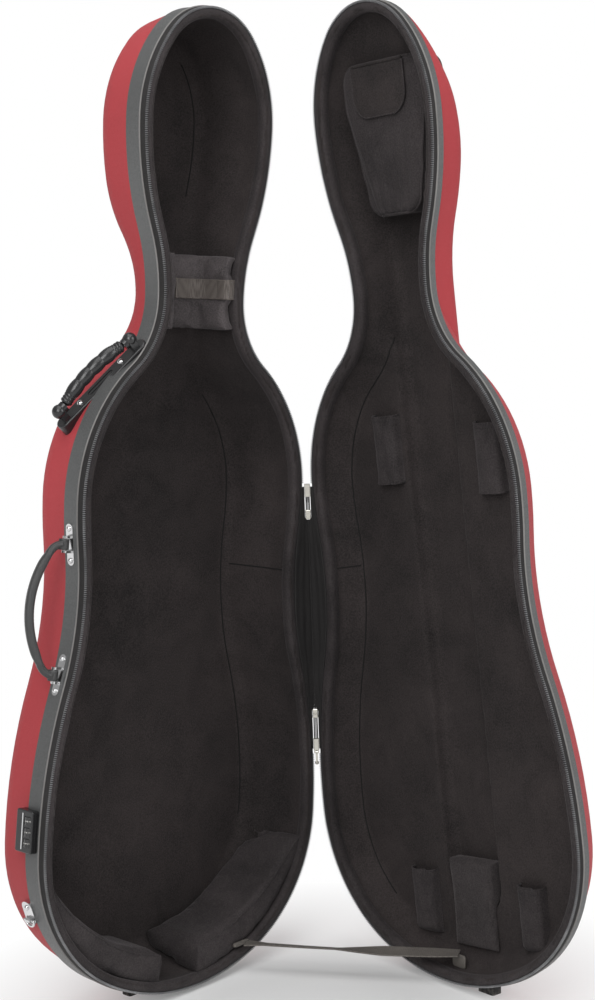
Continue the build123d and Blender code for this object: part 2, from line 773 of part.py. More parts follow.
# Shoulder handle
SHOULDER = chord_frame(SHOULDER_LOW, SHOULDER_HIGH, SHOULDER_DEPTH, SHOULDER_SLANT)
EAR_AT = EAR_SPAN / 2
base = slot_plate(BASE_LENGTH + BASE_WIDTH, BASE_WIDTH, -2 * BASE_WIDTH, BASE_THICK)
base = fillet(base.edges().group_by(Axis.Z)[-1], BASE_EDGE)
emboss = slot_plate(EMBOSS_LENGTH, EMBOSS_WIDTH, BASE_THICK - EMBOSS_SINK, BASE_THICK + 1)
raised = slot_plate(EMBOSS_LENGTH - 2 * EMBOSS_LINE, EMBOSS_WIDTH - 2 * EMBOSS_LINE, 0, BASE_THICK + 1)
base = base - (emboss - raised)
EAR_FACE = EAR_AT - EAR_THICK / 2
for end in (-1, 1):
    neck = centred_box(EAR_THICK, 0.75 * BASE_WIDTH, PIN_HEIGHT, (end * EAR_AT, 0, 0))
    ball = Pos(end * (EAR_FACE + 0.6 * BALL_RADIUS), 0, PIN_HEIGHT) * Sphere(BALL_RADIUS)
    inner_side = centred_box(EAR_AT, BASE_WIDTH * 2, BASE_WIDTH * 2, (end * (EAR_FACE - EAR_AT / 2), 0, 0))
    base = base + neck + (ball - inner_side)
    base = base - Pos(end * EAR_FACE, 0, PIN_HEIGHT) * rod(PIN_RADIUS, PIN_LENGTH, "X")
    base = base - Pos(end * RIVET_AT, 0, 0) * Cylinder(RIVET_RADIUS, 8 * BASE_WIDTH)
parts["shoulder_base"] = body(off_wall(SHOULDER * base))

GRIP_END = EAR_FACE - FIT_GAP
BOW_CIRCLE = (GRIP_END * GRIP_END + GRIP_BOW * GRIP_BOW) / (2 * GRIP_BOW)


def along_grip(x):
    """Frame on the bowed middle line of the grip; its z runs along the line."""
    rise = (BOW_CIRCLE ** 2 - x * x) ** 0.5 - BOW_CIRCLE + GRIP_BOW
    lean = degrees(asin(x / BOW_CIRCLE))
    return Pos(x, 0, PIN_HEIGHT + rise) * Rot(0, 90 + lean, 0)


def turned(start, swells, stop):
    """Round bar on the z axis between two stations; each swell is (from, to, radius, rise)."""
    edges = []
    last = (0, start)
    for low, high, radius, rise in swells:
        if last != (radius, low):
            edges.append(Edge.make_line(last, (radius, low)))
        edges.append(Edge.make_three_point_arc((radius, low), (radius + rise, (low + high) / 2), (radius, high)))
        last = (radius, high)
    edges.append(Edge.make_line(last, (0, stop)))
    edges.append(Edge.make_line((0, stop), (0, start)))
    return revolve(Plane.XZ.location * make_face(edges), Axis.Z)


# Finger lobes, then fine ridges and a collar towards each pin
reach = LOBE_LENGTH / 2 + 0.5
grip = along_grip(-LOBE_LENGTH * (GRIP_LOBES - 1) / 2) * turned(-reach, [(-reach, reach, GRIP_RADIUS, LOBE_RISE)], reach)
for i in range(1, GRIP_LOBES):
    x = LOBE_LENGTH * (i - (GRIP_LOBES - 1) / 2)
    grip = grip + along_grip(x) * turned(-reach, [(-reach, reach, GRIP_RADIUS, LOBE_RISE)], reach)
SLEEVE_START = LOBE_LENGTH * GRIP_LOBES / 2
SLEEVE = GRIP_END - COLLAR_LENGTH - SLEEVE_START
for end in (-1, 1):
    swells = []
    for i in range(GRIP_RIDGES):
        low = RIDGE_PITCH * i - SLEEVE / 2
        swells.append((low, low + RIDGE_PITCH, GRIP_RADIUS - RIDGE_RISE, RIDGE_RISE))
    swells[0] = (-SLEEVE / 2 - 1, *swells[0][1:])
    sleeve = turned(-SLEEVE / 2 - 1, swells, SLEEVE / 2 + 2)
    if end < 0:
        sleeve = Rot(0, 180, 0) * sleeve
    grip = grip + along_grip(end * (SLEEVE_START + SLEEVE / 2)) * sleeve
    collar = Pos(end * (GRIP_END - COLLAR_LENGTH / 2), 0, PIN_HEIGHT)
    grip = grip + collar * rod(GRIP_RADIUS - RIDGE_RISE / 2, COLLAR_LENGTH, "X")
    inside = end * (GRIP_END + 1 - PIN_LENGTH / 2)
    grip = grip - Pos(inside, 0, PIN_HEIGHT) * rod(PIN_RADIUS + FIT_GAP, PIN_LENGTH + 2, "X")
parts["shoulder_grip"] = body(SHOULDER * grip)
for end, name in ((-1, "low"), (1, "high")):
    parts["shoulder_pin_" + name] = body(SHOULDER * Pos(end * EAR_FACE, 0, PIN_HEIGHT) * rod(PIN_RADIUS, PIN_LENGTH, "X"))
    shank = Pos(end * RIVET_AT, 0, -BASE_WIDTH) * Cylinder(
        RIVET_RADIUS, BASE_WIDTH + 1.5 * BASE_THICK, align=(Align.CENTER,) * 2 + (Align.MIN,)
    )
    dome = Pos(end * RIVET_AT, 0, BASE_THICK) * Sphere(1.2 * RIVET_RADIUS)
    above = centred_box(BASE_WIDTH, BASE_WIDTH, BASE_WIDTH, (end * RIVET_AT, 0, BASE_THICK))
    parts["shoulder_rivet_" + name] = body(off_wall(SHOULDER * (shank + (dome & above))))

# Side handle
SIDE = chord_frame(SIDE_LOW, SIDE_HIGH, SIDE_DEPTH)
SIDE_SPAN = hypot(
    side_point(SIDE_HIGH, case_arcs())[0] - side_point(SIDE_LOW, case_arcs())[0], SIDE_HIGH - SIDE_LOW
)
BAR_LENGTH = LOOP_LENGTH + 2 * BRACKET_POST + 1


def bracket(v, end):
    """Chrome plate with two domed rivets and a bar for the leather loop."""
    own = wall_frame(v, SIDE_DEPTH)
    plate = slot_plate(BRACKET_LENGTH, BRACKET_WIDTH, -6, BRACKET_THICK)
    for side in (-1, 1):
        at = side * (BRACKET_LENGTH - BRACKET_WIDTH) / 2
        dome = Pos(at, 0, BRACKET_THICK) * Sphere(RIVET_RADIUS)
        plate = plate + dome
    shape = own * plate
    x = end * SIDE_SPAN / 2
    bar = Pos(x, 0, BAR_HEIGHT) * rod(BAR_RADIUS, BAR_LENGTH, "X")
    for side in (-1, 1):
        at = x + side * (BAR_LENGTH - BRACKET_POST) / 2
        post = centred_box(BRACKET_POST, 8, BAR_HEIGHT + BAR_RADIUS + 7, (at, 0, -7))
        post = fillet(post.edges().group_by(Axis.Z)[-1].filter_by(Axis.X), 3)
        bar = bar + post
    return body(off_wall(shape + SIDE * bar))


parts["side_bracket_low"] = bracket(SIDE_LOW, -1)
parts["side_bracket_high"] = bracket(SIDE_HIGH, 1)

half = SIDE_SPAN / 2
crest, shoulder = quarter_radii(half, SIDE_RISE, SIDE_TURN)
ARCH_ARCS = [(half - shoulder, 0, shoulder, 0, 90 - SIDE_TURN), (0, SIDE_RISE - crest, crest, 90 - SIDE_TURN, 90)]


def arch_face(grow):
    """Region under the arch of the grip, down to its two ends."""
    edges = []
    for arc in ARCH_ARCS:
        middle = (arc[3] + arc[4]) / 2
        edges.append(Edge.make_three_point_arc(on_arc(arc, arc[3], grow), on_arc(arc, middle, grow), on_arc(arc, arc[4], grow)))
    edges += [edge.mirror(Plane.YZ) for edge in edges]
    edges.append(Edge.make_line((half + grow, 0), (-half - grow, 0)))
    return Face(Wire(edges))


arch = arch_face(SIDE_THICK / 2) - arch_face(-SIDE_THICK / 2)
grip = extrude(arch, SIDE_WIDTH / 2, both=True)
grip = fillet(grip.faces().filter_by(Plane.XY).edges().filter_by(GeomType.CIRCLE), SIDE_ROUND)
grip = Rot(90, 0, 0) * grip
for end in (-1, 1):
    grip = grip + Pos(end * half, 0, 0) * rod(LOOP_RADIUS, LOOP_LENGTH, "X")
for end in (-1, 1):
    grip = grip - Pos(end * half, 0, 0) * rod(BAR_RADIUS + FIT_GAP, 40, "X")
SIDE_HINGE = SIDE * Pos(0, 0, BAR_HEIGHT)
parts["side_grip"] = body(SIDE_HINGE * Rot(-SIDE_TILT, 0, 0) * grip)

# Combination lock
LOCK = wall_frame(LOCK_AT, LOCK_DEPTH)
housing = centred_box(LOCK_LENGTH, LOCK_WIDTH, LOCK_THICK + 12, (0, 0, -12))
housing = fillet(housing.edges().filter_by(Axis.Z), LOCK_ROUND)
housing = fillet(housing.edges().group_by(Axis.Z)[-1], 1.4)
for i in (-1, 0, 1):
    well = centred_box(
        DIAL_WIDTH + 2 * FIT_GAP,
        2 * DIAL_RADIUS + 1,
        LOCK_THICK + 2,
        (i * DIAL_PITCH, -DIAL_OFFSET, DIAL_HEIGHT - DIAL_RADIUS - 0.4),
    )
    housing = housing - well
spindle = Pos(0, -DIAL_OFFSET, DIAL_HEIGHT) * rod(SPINDLE_RADIUS, 2 * DIAL_PITCH + DIAL_WIDTH + 6, "X")
trim = centred_box(LOCK_LENGTH - 8, TRIM_WIDTH, 0.8, (0, DIAL_OFFSET - 4.5, LOCK_THICK))
parts["lock_housing"] = body(off_wall(LOCK * (housing - spindle)))
parts["lock_spindle"] = body(LOCK * spindle)
parts["lock_trim"] = body(LOCK * trim)
for i, name in ((-1, "lock_dial_low"), (0, "lock_dial_middle"), (1, "lock_dial_high")):
    prism = extrude(RegularPolygon(DIAL_RADIUS, DIAL_FACETS), DIAL_WIDTH / 2, both=True)
    dial = Rot(0, 90, 0) * (prism - Cylinder(SPINDLE_RADIUS + FIT_GAP, DIAL_WIDTH + 2))
    parts[name] = body(LOCK * Pos(i * DIAL_PITCH, -DIAL_OFFSET, DIAL_HEIGHT) * dial)

# Strap ring: riveted plate, knuckle, ring hanging in it
RING = wall_frame(RING_AT, RING_DEPTH)
length, width, thick = RING_PLATE
plate = slot_plate(length, width, -10, thick)
plate = plate + Pos(length / 4, 0, thick) * (Sphere(RIVET_RADIUS) & centred_box(20, 20, 10))
knuckle_at = (-length / 4, 0, RING_HEIGHT)
knuckle = Pos(*knuckle_at) * rod(RING_WIRE + 1.6, 8, "Y")
knuckle = knuckle + centred_box(2 * (RING_WIRE + 1.6), 8, RING_HEIGHT, (-length / 4, 0, 0))
plate = plate + knuckle - Pos(*knuckle_at) * rod(RING_WIRE + FIT_GAP, 12, "Y")
parts["ring_plate"] = body(off_wall(RING * plate))
bar = rod(RING_WIRE, 2 * RING_HALF, "Y")
bow = Pos(0, 0, 0) * Torus(RING_HALF, RING_WIRE) & span((-40, 0), (-40, 40), (-5, 5))
ends = Pos(0, RING_HALF, 0) * Sphere(RING_WIRE) + Pos(0, -RING_HALF, 0) * Sphere(RING_WIRE)
parts["strap_ring"] = body(RING * Pos(*knuckle_at) * (bar + bow + ends))


# Rubber feet, flat on the floor

def foot(side, depth, volume):
    u = LOWEST_U + side * FOOT_SPREAD
    s = HINGE_OFFSET + u * cos(radians(LEAN))
    block = span(
        (-s - FOOT_SIZE[0] / 2, -s + FOOT_SIZE[0] / 2),
        (depth - FOOT_SIZE[1] / 2, depth + FOOT_SIZE[1] / 2),
        (0, FOOT_SIZE[0] * 1.5),
    )
    block = fillet(block.edges().filter_by(Axis.Z), 4)
    block = block - body(volume)
    return block.solids().sort_by(Axis.Z)[0]


LID_BLOCK = lid_shell_volume() + extrude(outline(0), LID_BAND)
for side, name in ((-1, "hinge_side"), (1, "free_side")):
    parts["body_foot_" + name] = foot(side, BODY_FOOT_DEPTH, SHELL_BLOCK)
    parts["lid_foot_" + name] = opened(foot(side, LID_FOOT_DEPTH, LID_BLOCK).mirror(Plane.XZ))


# Webbing stay from the body to the lid, with the tabs it is sewn to
start = Vector(-STAY_BODY, BOLSTER_FRONT, STAY_HEIGHT)
finish = opened(Pos(-STAY_LID, -STAY_LID_DEPTH, STAY_HEIGHT) * Vertex(0, 0, 0)).center()
run = finish - start
turn = degrees(atan2(run.Y, run.X))
STAY_NEAR = STAY_WIDTH / 2 * abs(cos(radians(turn))) / abs(sin(radians(turn))) + 1
stay = span((STAY_NEAR, run.length + 5), (-STAY_WIDTH / 2, STAY_WIDTH / 2), (-STAY_THICK / 2, STAY_THICK / 2))
stay = Pos(start.X, start.Y, STAY_HEIGHT) * Rot(0, 0, turn) * stay
parts["stay_strap"] = stay
tab = span(
    (-STAY_BODY - STAY_WIDTH / 2 - 2, -STAY_BODY + STAY_WIDTH / 2 + 2),
    (BOLSTER_FRONT - STAY_TAB, BOLSTER_FRONT),
    (STAY_HEIGHT - STAY_THICK - 1, STAY_HEIGHT + STAY_THICK + 1),
)
parts["stay_tab_body"] = tab - stay
tab = span(
    (-STAY_LID - STAY_WIDTH / 2, -STAY_LID + STAY_WIDTH / 2),
    (-STAY_LID_DEPTH - STAY_THICK, -STAY_LID_DEPTH + STAY_THICK),
    (0, STAY_HEIGHT - STAY_THICK / 2),
)
parts["stay_tab_lid"] = opened(tab & shut_lid(room))

# Origin in the middle of the footprint of the open case, on the floor
bounds = Compound(children=[Compound(shape.solids()) for shape in parts.values()]).bounding_box()
ORIGIN = Pos(-bounds.center().X, -bounds.center().Y, -bounds.min.Z)
os.makedirs("parts", exist_ok=True)
for name, shape in parts.items():
    export_step(ORIGIN * shape, "parts/" + name + ".step")
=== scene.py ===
import bmesh
import bpy
import numpy as np
from math import cos, pi, radians, sin, tan
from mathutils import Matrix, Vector, noise
from mathutils.bvhtree import BVHTree


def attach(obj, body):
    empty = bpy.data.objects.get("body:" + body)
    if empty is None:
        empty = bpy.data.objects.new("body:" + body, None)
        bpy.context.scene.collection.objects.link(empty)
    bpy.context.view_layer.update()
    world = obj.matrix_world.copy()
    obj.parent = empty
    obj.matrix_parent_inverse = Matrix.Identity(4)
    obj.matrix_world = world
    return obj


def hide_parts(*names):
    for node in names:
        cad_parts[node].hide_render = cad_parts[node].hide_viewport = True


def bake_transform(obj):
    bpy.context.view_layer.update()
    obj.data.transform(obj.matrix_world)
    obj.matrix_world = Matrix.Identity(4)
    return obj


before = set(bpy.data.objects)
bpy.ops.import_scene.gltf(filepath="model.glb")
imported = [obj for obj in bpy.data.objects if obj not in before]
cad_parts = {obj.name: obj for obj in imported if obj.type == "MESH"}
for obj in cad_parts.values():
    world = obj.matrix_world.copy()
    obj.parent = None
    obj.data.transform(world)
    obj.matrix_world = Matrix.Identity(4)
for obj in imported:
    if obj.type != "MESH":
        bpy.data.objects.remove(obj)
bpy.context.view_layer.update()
SCENE = bpy.context.scene

# The case's own coordinates, in millimetres: u across, v up from the bottom of the
# outline, w into the depth from the closing plane.
HINGE_OFFSET = 281.2706
LIFT = 8.67939
LEAN = radians(6.189474)
OPEN = radians(85)
ORIGIN = (222.946, 188.817)
LENGTH = 1330.0
WAIST_AT = 574.56
UPPER_AT = 682.29
NECK_AT = 949.62
HEAD_AT = 1179.71
WAIST_HALF = 195.0
PANEL_FLOOR = 49.5
BODY_FLOOR = 117.5
WALL_INSET = 14
BODY_WALL_LEAN = 12
LID_WALL_LEAN = 35
NECK_CHANNEL = 45.5
CHANNEL_FLOOR = 65.5
CHANNEL_ROUND = 22.0
WEB_AT = NECK_AT + 12

# Free side of the rim: centre across, centre along, radius, start and end angle
RIM_ARCS = [
    (0, 288.098, 288.098, -90, -60),
    (38.098, 222.11, 211.902, -60, 0),
    (-467.205, 222.11, 717.205, 0, 17.739),
    (634.577, 574.56, -439.577, 197.739, 180),
    (602.461, 574.56, -407.461, 180, 173.624),
    (-361.685, 682.29, 562.685, -6.376, 0),
    (-24.935, 682.29, 225.935, 0, 51.345),
    (188.891, 949.62, -116.391, 231.345, 180),
    (317.254, 949.62, -244.754, 180, 159.07),
    (-284.336, 1179.71, 399.336, -20.93, 0),
    (-66.124, 1179.71, 181.124, 0, 40),
    (0, 1235.195, 94.805, 40, 90),
]


def leaned(u, v):
    """Millimetres across from the hinge line and up from the floor, as the case leans."""
    return HINGE_OFFSET + u * cos(LEAN) - v * sin(LEAN), LIFT + u * sin(LEAN) + v * cos(LEAN)


def by_hinge(east, north, up):
    """Millimetres from the hinge line and up from the floor to metres of the frame."""
    return np.stack((ORIGIN[0] + east, ORIGIN[1] + north, up), -1) / 1000


def in_body(points):
    """Case millimetres to metres of the frame, for the body."""
    u, v, w = np.moveaxis(np.asarray(points, float), -1, 0)
    across, up = leaned(u, v)
    return by_hinge(-across, w, up)


def in_lid(points):
    """Case millimetres to metres of the frame, for the lid standing open."""
    u, v, w = np.moveaxis(np.asarray(points, float), -1, 0)
    across, up = leaned(u, v)
    east = ORIGIN[0] - across * cos(OPEN) + w * sin(OPEN)
    north = ORIGIN[1] - across * sin(OPEN) - w * cos(OPEN)
    return np.stack((east, north, up), -1) / 1000


def on_lid_side(x, w):
    """East and north of the hinge line, from millimetres along the open lid and into it."""
    return x * cos(OPEN) + w * sin(OPEN), x * sin(OPEN) - w * cos(OPEN)


def to_case(points, lid):
    """Frame metres back to case millimetres."""
    x, y, z = np.moveaxis(np.asarray(points, float) * 1000, -1, 0)
    x = x - ORIGIN[0]
    y = y - ORIGIN[1]
    if lid:
        x, y = on_lid_side(x, y)
    across = -x - HINGE_OFFSET
    up = z - LIFT
    u = across * cos(LEAN) + up * sin(LEAN)
    v = up * cos(LEAN) - across * sin(LEAN)
    return np.stack((u, v, y), -1)


def distance_along(path):
    """How far along a path each of its points lies."""
    return np.concatenate(([0], np.cumsum(np.linalg.norm(np.diff(path, axis=0), axis=1))))


def rim_line(step):
    """Evenly spaced stations round the whole rim: u, v and the outward direction."""
    side = []
    for cu, cv, radius, start, stop in RIM_ARCS:
        count = max(3, int(abs(radius * radians(stop - start)) / 2))
        out = 1 if radius > 0 else -1
        reach = abs(radius)
        for angle in np.radians(np.linspace(start, stop, count)[:-1]):
            east, up = cos(angle), sin(angle)
            side.append((cu + reach * east, cv + reach * up, out * east, out * up))
    free = np.array(side + [(0, LENGTH, 0, 1)])
    hinge = free[-2:0:-1] * (-1, 1, -1, 1)
    loop = np.vstack((free, hinge, free[:1]))
    run = np.concatenate(([0], np.cumsum(np.hypot(*np.diff(loop[:, :2], axis=0).T))))
    at = np.linspace(0, run[-1], int(run[-1] / step), endpoint=False)
    line = np.stack([np.interp(at, run, loop[:, k]) for k in range(4)], -1)
    line[:, 2:] /= np.linalg.norm(line[:, 2:], axis=1)[:, None]
    return line


def inside_rim(line, inset, w):
    """Points at an inset from the rim and a depth, one for each station."""
    inset = np.asarray(inset, float)
    u = line[:, 0] - line[:, 2] * inset
    v = line[:, 1] - line[:, 3] * inset
    return np.stack((u, v, np.broadcast_to(w, u.shape)), -1)


def handmade(count, spacing, amount, seed):
    """Slow uneven wander along a closed edge, as hand-finished padding has."""
    knots = max(4, int(count / spacing))
    value = np.random.default_rng(seed).uniform(-amount, amount, knots)
    value = np.append(value, value[0])
    at = np.linspace(0, knots, count, endpoint=False)
    turn = (1 - np.cos((at % 1) * pi)) / 2
    low = at.astype(int)
    return value[low] * (1 - turn) + value[low + 1] * turn


# Making pieces

def shade(mesh, smooth=True):
    mesh.polygons.foreach_set("use_smooth", [smooth] * len(mesh.polygons))


def make_piece(name, points, faces, finish, slot, body=None, stands_for=(), smooth=True):
    """A mesh piece from points and faces, with its finish and body. The slot is not used."""
    mesh = bpy.data.meshes.new(name)
    mesh.from_pydata([tuple(p) for p in np.reshape(points, (-1, 3))], [], faces)
    tidy = bmesh.new()
    tidy.from_mesh(mesh)
    bmesh.ops.recalc_face_normals(tidy, faces=tidy.faces)
    tidy.to_mesh(mesh)
    tidy.free()
    shade(mesh, smooth)
    made = bpy.data.objects.new(name, mesh)
    SCENE.collection.objects.link(made)
    mesh.materials.append(finish)
    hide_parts(*stands_for)
    if body:
        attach(made, body)
    return made


def grid_faces(rows, columns, round_rows=False, round_columns=False):
    faces = []
    for i in range(rows if round_rows else rows - 1):
        for j in range(columns if round_columns else columns - 1):
            low = i * columns
            high = (i + 1) % rows * columns
            beside = (j + 1) % columns
            faces.append((low + j, low + beside, high + beside, high + j))
    return faces


def tube_faces(rings, sides):
    """Faces of a tube of so many rings, with both its ends closed."""
    last = (rings - 1) * sides
    return grid_faces(rings, sides, False, True) + [tuple(range(sides)), tuple(range(last, last + sides))]


def joined(parts):
    """One set of points and faces from several."""
    points = []
    faces = []
    for more, quads in parts:
        faces += [tuple(len(points) + i for i in face) for face in quads]
        points += list(more)
    return np.array(points), faces


def thick_cloth(points, thickness, holes=()):
    """Closed cloth of an even thickness over a grid of points, with cells left out as holes."""
    rows, columns = points.shape[:2]
    middle = points.reshape(-1, 3)
    quads = [f for k, f in enumerate(grid_faces(rows, columns)) if divmod(k, columns - 1) not in holes]
    a, b, c, d = np.array(quads).T
    facing = np.cross(middle[c] - middle[a], middle[d] - middle[b])
    normal = np.zeros_like(middle)
    for corner in (a, b, c, d):
        np.add.at(normal, corner, facing)
    length = np.linalg.norm(normal, axis=1)[:, None]
    normal = normal / np.where(length > 0, length, 1)
    both = np.vstack((middle + normal * thickness / 2, middle - normal * thickness / 2))
    shift = len(middle)
    edges = {(f[k], f[(k + 1) % 4]) for f in quads for k in range(4)}
    faces = list(quads) + [tuple(i + shift for i in reversed(f)) for f in quads]
    faces += [(b, a, a + shift, b + shift) for a, b in edges if (b, a) not in edges]
    return tightened(both, faces)


def tightened(points, faces):
    """The same mesh without the points that no face uses."""
    used = sorted({i for f in faces for i in f})
    place = {old: new for new, old in enumerate(used)}
    return points[used], [tuple(place[i] for i in f) for f in faces]


def round_line(path, radius, sides=8, closed=False):
    """Tube along a path; the radius may differ from point to point."""
    path = np.asarray(path, float)
    radius = np.broadcast_to(radius, len(path))
    run = np.roll(path, -1, 0) - np.roll(path, 1, 0)
    if not closed:
        run[0] = path[1] - path[0]
        run[-1] = path[-1] - path[-2]
    run /= np.linalg.norm(run, axis=1)[:, None]
    side = np.cross(run[0], (0.31, 0.17, 0.93))
    rings = []
    for point, way, size in zip(path, run, radius):
        side = side - way * side.dot(way)
        side = side / np.linalg.norm(side)
        other = np.cross(way, side)
        for k in range(sides):
            turn = 2 * pi * k / sides
            rings.append(point + size * (side * cos(turn) + other * sin(turn)))
    faces = grid_faces(len(path), sides, True, True) if closed else tube_faces(len(path), sides)
    return rings, faces


def evenly(path, step):
    """The same path with a point about every step."""
    path = np.asarray(path, float)
    run = distance_along(path)
    at = np.linspace(0, run[-1], max(2, int(run[-1] / step) + 1))
    return np.stack([np.interp(at, run, path[:, k]) for k in range(3)], -1)


def thread_stitches(name, paths, body, finish, slot, length, gap, radius):
    """Rows of sewn stitches, each a small thread lying along its path. Sizes in millimetres."""
    swell = np.array((0.35, 1, 1, 0.35)) * radius / 1000
    threads = []
    for path in paths:
        dots = evenly(path, (length + gap) / 1000 / 5)
        threads += [round_line(dots[k:k + 4], swell, 5) for k in range(0, len(dots) - 4, 5)]
    return make_piece(name, *joined(threads), finish, slot, body)


def surface_of(made):
    return BVHTree.FromObject(made, bpy.context.evaluated_depsgraph_get())


def lying_on(made, path, lift):
    """The path moved onto a piece's surface, and lifted off it."""
    tree = surface_of(made)
    laid = []
    for point in path:
        near, normal, _, _ = tree.find_nearest(Vector(point))
        laid.append(near + normal * lift)
    return np.array(laid)


def baked(made):
    """Applies a piece's modifiers to its mesh."""
    graph = bpy.context.evaluated_depsgraph_get()
    mesh = bpy.data.meshes.new_from_object(made.evaluated_get(graph))
    made.modifiers.clear()
    made.data = mesh
    return made


def softened_copy(name, nodes, finish, body, voxel, rounds, backed_by=None):
    """Copy of CAD solids with an even mesh and soft edges, to be shaped as padding.
    A lining glued to a shell reaches a little into it, so that it has body at its corners."""
    whole = bmesh.new()
    for node in nodes:
        whole.from_mesh(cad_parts[node].data)
    bmesh.ops.remove_doubles(whole, verts=whole.verts, dist=1e-6)
    if backed_by:
        whole.normal_update()
        shell = surface_of(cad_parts[backed_by])
        for vertex in whole.verts:
            if shell.find_nearest(vertex.co)[3] < 2e-4:
                vertex.co += vertex.normal * 0.0028
    mesh = bpy.data.meshes.new(name)
    whole.to_mesh(mesh)
    whole.free()
    made = bpy.data.objects.new(name, mesh)
    SCENE.collection.objects.link(made)
    even = made.modifiers.new("even", "REMESH")
    even.mode = "VOXEL"
    even.voxel_size = voxel / 1000
    soft = made.modifiers.new("soft", "SMOOTH")
    soft.iterations = rounds
    soft.factor = 0.5
    baked(made)
    made.data.materials.clear()
    made.data.materials.append(finish)
    shade(made.data)
    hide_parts(*nodes)
    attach(made, body)
    return made


def mesh_values(made, kind="co"):
    flat = np.empty(len(made.data.vertices) * 3)
    made.data.vertices.foreach_get(kind, flat)
    return flat.reshape(-1, 3)


def set_points(made, points):
    made.data.vertices.foreach_set("co", np.asarray(points, float).ravel())
    made.data.update()


def puffed(made, pressure, most, shrink):
    """Swells a padded piece under its cover, by no more than a given distance in millimetres."""
    start = mesh_values(made)
    slim = start - mesh_values(made, "normal") * shrink / 1000
    set_points(made, slim)
    cloth = made.modifiers.new("cover", "CLOTH")
    cloth.settings.use_pressure = True
    cloth.settings.uniform_pressure_force = pressure
    cloth.settings.effector_weights.gravity = 0
    cloth.settings.quality = 5
    for step in range(1, 21):
        SCENE.frame_set(step)
    swollen = mesh_values(made.evaluated_get(bpy.context.evaluated_depsgraph_get()))
    made.modifiers.clear()
    SCENE.frame_set(1)
    move = swollen - slim
    far = np.linalg.norm(move, axis=1)[:, None]
    set_points(made, slim + move * np.minimum(1, most / 1000 / np.maximum(far, 1e-9)))
    return made


def finer(made):
    smooth = made.modifiers.new("finer", "SUBSURF")
    smooth.levels = 1
    smooth.render_levels = 1
    baked(made)
    shade(made.data)
    return made


# Node groups shared by the finishes

def wire(tree, value, socket):
    if isinstance(value, bpy.types.NodeSocket):
        tree.links.new(value, socket)
    else:
        socket.default_value = value


def add(tree, kind, inputs=(), **settings):
    """A node with its settings, and its inputs by number or label."""
    node = tree.nodes.new("ShaderNode" + kind)
    for label, value in settings.items():
        setattr(node, label, value)
    for key, value in dict(inputs).items():
        wire(tree, value, node.inputs[key])
    return node


def calc(tree, operation, *values):
    return add(tree, "Math", enumerate(values), operation=operation).outputs[0]


def parts_of(tree, vector):
    return add(tree, "SeparateXYZ", {0: vector}).outputs


def mixed_colour(tree, factor, first, second):
    return add(tree, "Mix", {0: factor, 6: first, 7: second}, data_type="RGBA").outputs[2]


def ranged(tree, value, low, high, to_low=0.0, to_high=1.0):
    return add(tree, "MapRange", enumerate((value, low, high, to_low, to_high))).outputs[0]


def speckle(tree, place, scale, detail=3.0, rough=0.5, warp=0.0):
    inputs = {"Vector": place, "Scale": scale, "Detail": detail, "Roughness": rough, "Distortion": warp}
    return add(tree, "TexNoise", inputs).outputs["Fac"]


def new_group(name, inputs, outputs):
    tree = bpy.data.node_groups.new(name, "ShaderNodeTree")
    for label, kind, start in inputs:
        socket = tree.interface.new_socket(label, in_out="INPUT", socket_type=kind)
        if start is not None:
            socket.default_value = start
    for label, kind in outputs:
        tree.interface.new_socket(label, in_out="OUTPUT", socket_type=kind)
    start = tree.nodes.new("NodeGroupInput").outputs
    stop = tree.nodes.new("NodeGroupOutput").inputs
    return tree, start, stop


FLOAT = "NodeSocketFloat"
VECTOR = "NodeSocketVector"
COLOUR = "NodeSocketColor"


def texture_group(name, build):
    """A group with the height and shade that build makes for a place, facing and pitch."""
    inputs = [("Place", VECTOR, None), ("Facing", VECTOR, None), ("Pitch", FLOAT, None)]
    tree, start, stop = new_group(name, inputs, [("Height", FLOAT), ("Shade", FLOAT)])
    for output, socket in zip(build(tree, start["Place"], start["Facing"], start["Pitch"]), stop):
        wire(tree, output, socket)
    return tree


def in_turns(tree, place, pitch):
    """The place as three angles, with one turn for each pitch."""
    scale = calc(tree, "DIVIDE", 2 * pi, pitch)
    return parts_of(tree, add(tree, "VectorMath", {0: place, "Scale": scale}, operation="SCALE").outputs[0])


def weighted(tree, first, share, second, other):
    return calc(tree, "MULTIPLY_ADD", first, share, calc(tree, "MULTIPLY", second, other))


def woven_threads(tree, place, facing, pitch):
    """Plain weave of two crossing threads, laid from whichever side a surface faces."""
    waves = [calc(tree, "SINE", turn) for turn in in_turns(tree, place, pitch)]
    weights = [calc(tree, "POWER", calc(tree, "ABSOLUTE", way), 3.0) for way in parts_of(tree, facing)]
    total = calc(tree, "ADD", calc(tree, "ADD", weights[0], weights[1]), calc(tree, "ADD", weights[2], 1e-4))
    height = 0.0
    for k in range(3):
        crossing = calc(tree, "MULTIPLY", waves[(k + 1) % 3], waves[(k + 2) % 3])
        height = calc(tree, "MULTIPLY_ADD", crossing, calc(tree, "DIVIDE", weights[k], total), height)
    height = weighted(tree, height, 0.5, speckle(tree, place, 420.0, 2.0, 0.6), 0.9)
    return height, ranged(tree, height, -0.1, 1.0)


def short_nap(tree, place, facing, pitch):
    """Fine pile of brushed velour, with brushed patches."""
    fibre = speckle(tree, place, calc(tree, "DIVIDE", 1.0, pitch), 3.0, 0.7)
    patches = speckle(tree, place, 22.0, 3.0, 0.55, 0.6)
    return fibre, ranged(tree, weighted(tree, fibre, 0.72, patches, 0.28), 0.38, 0.64)


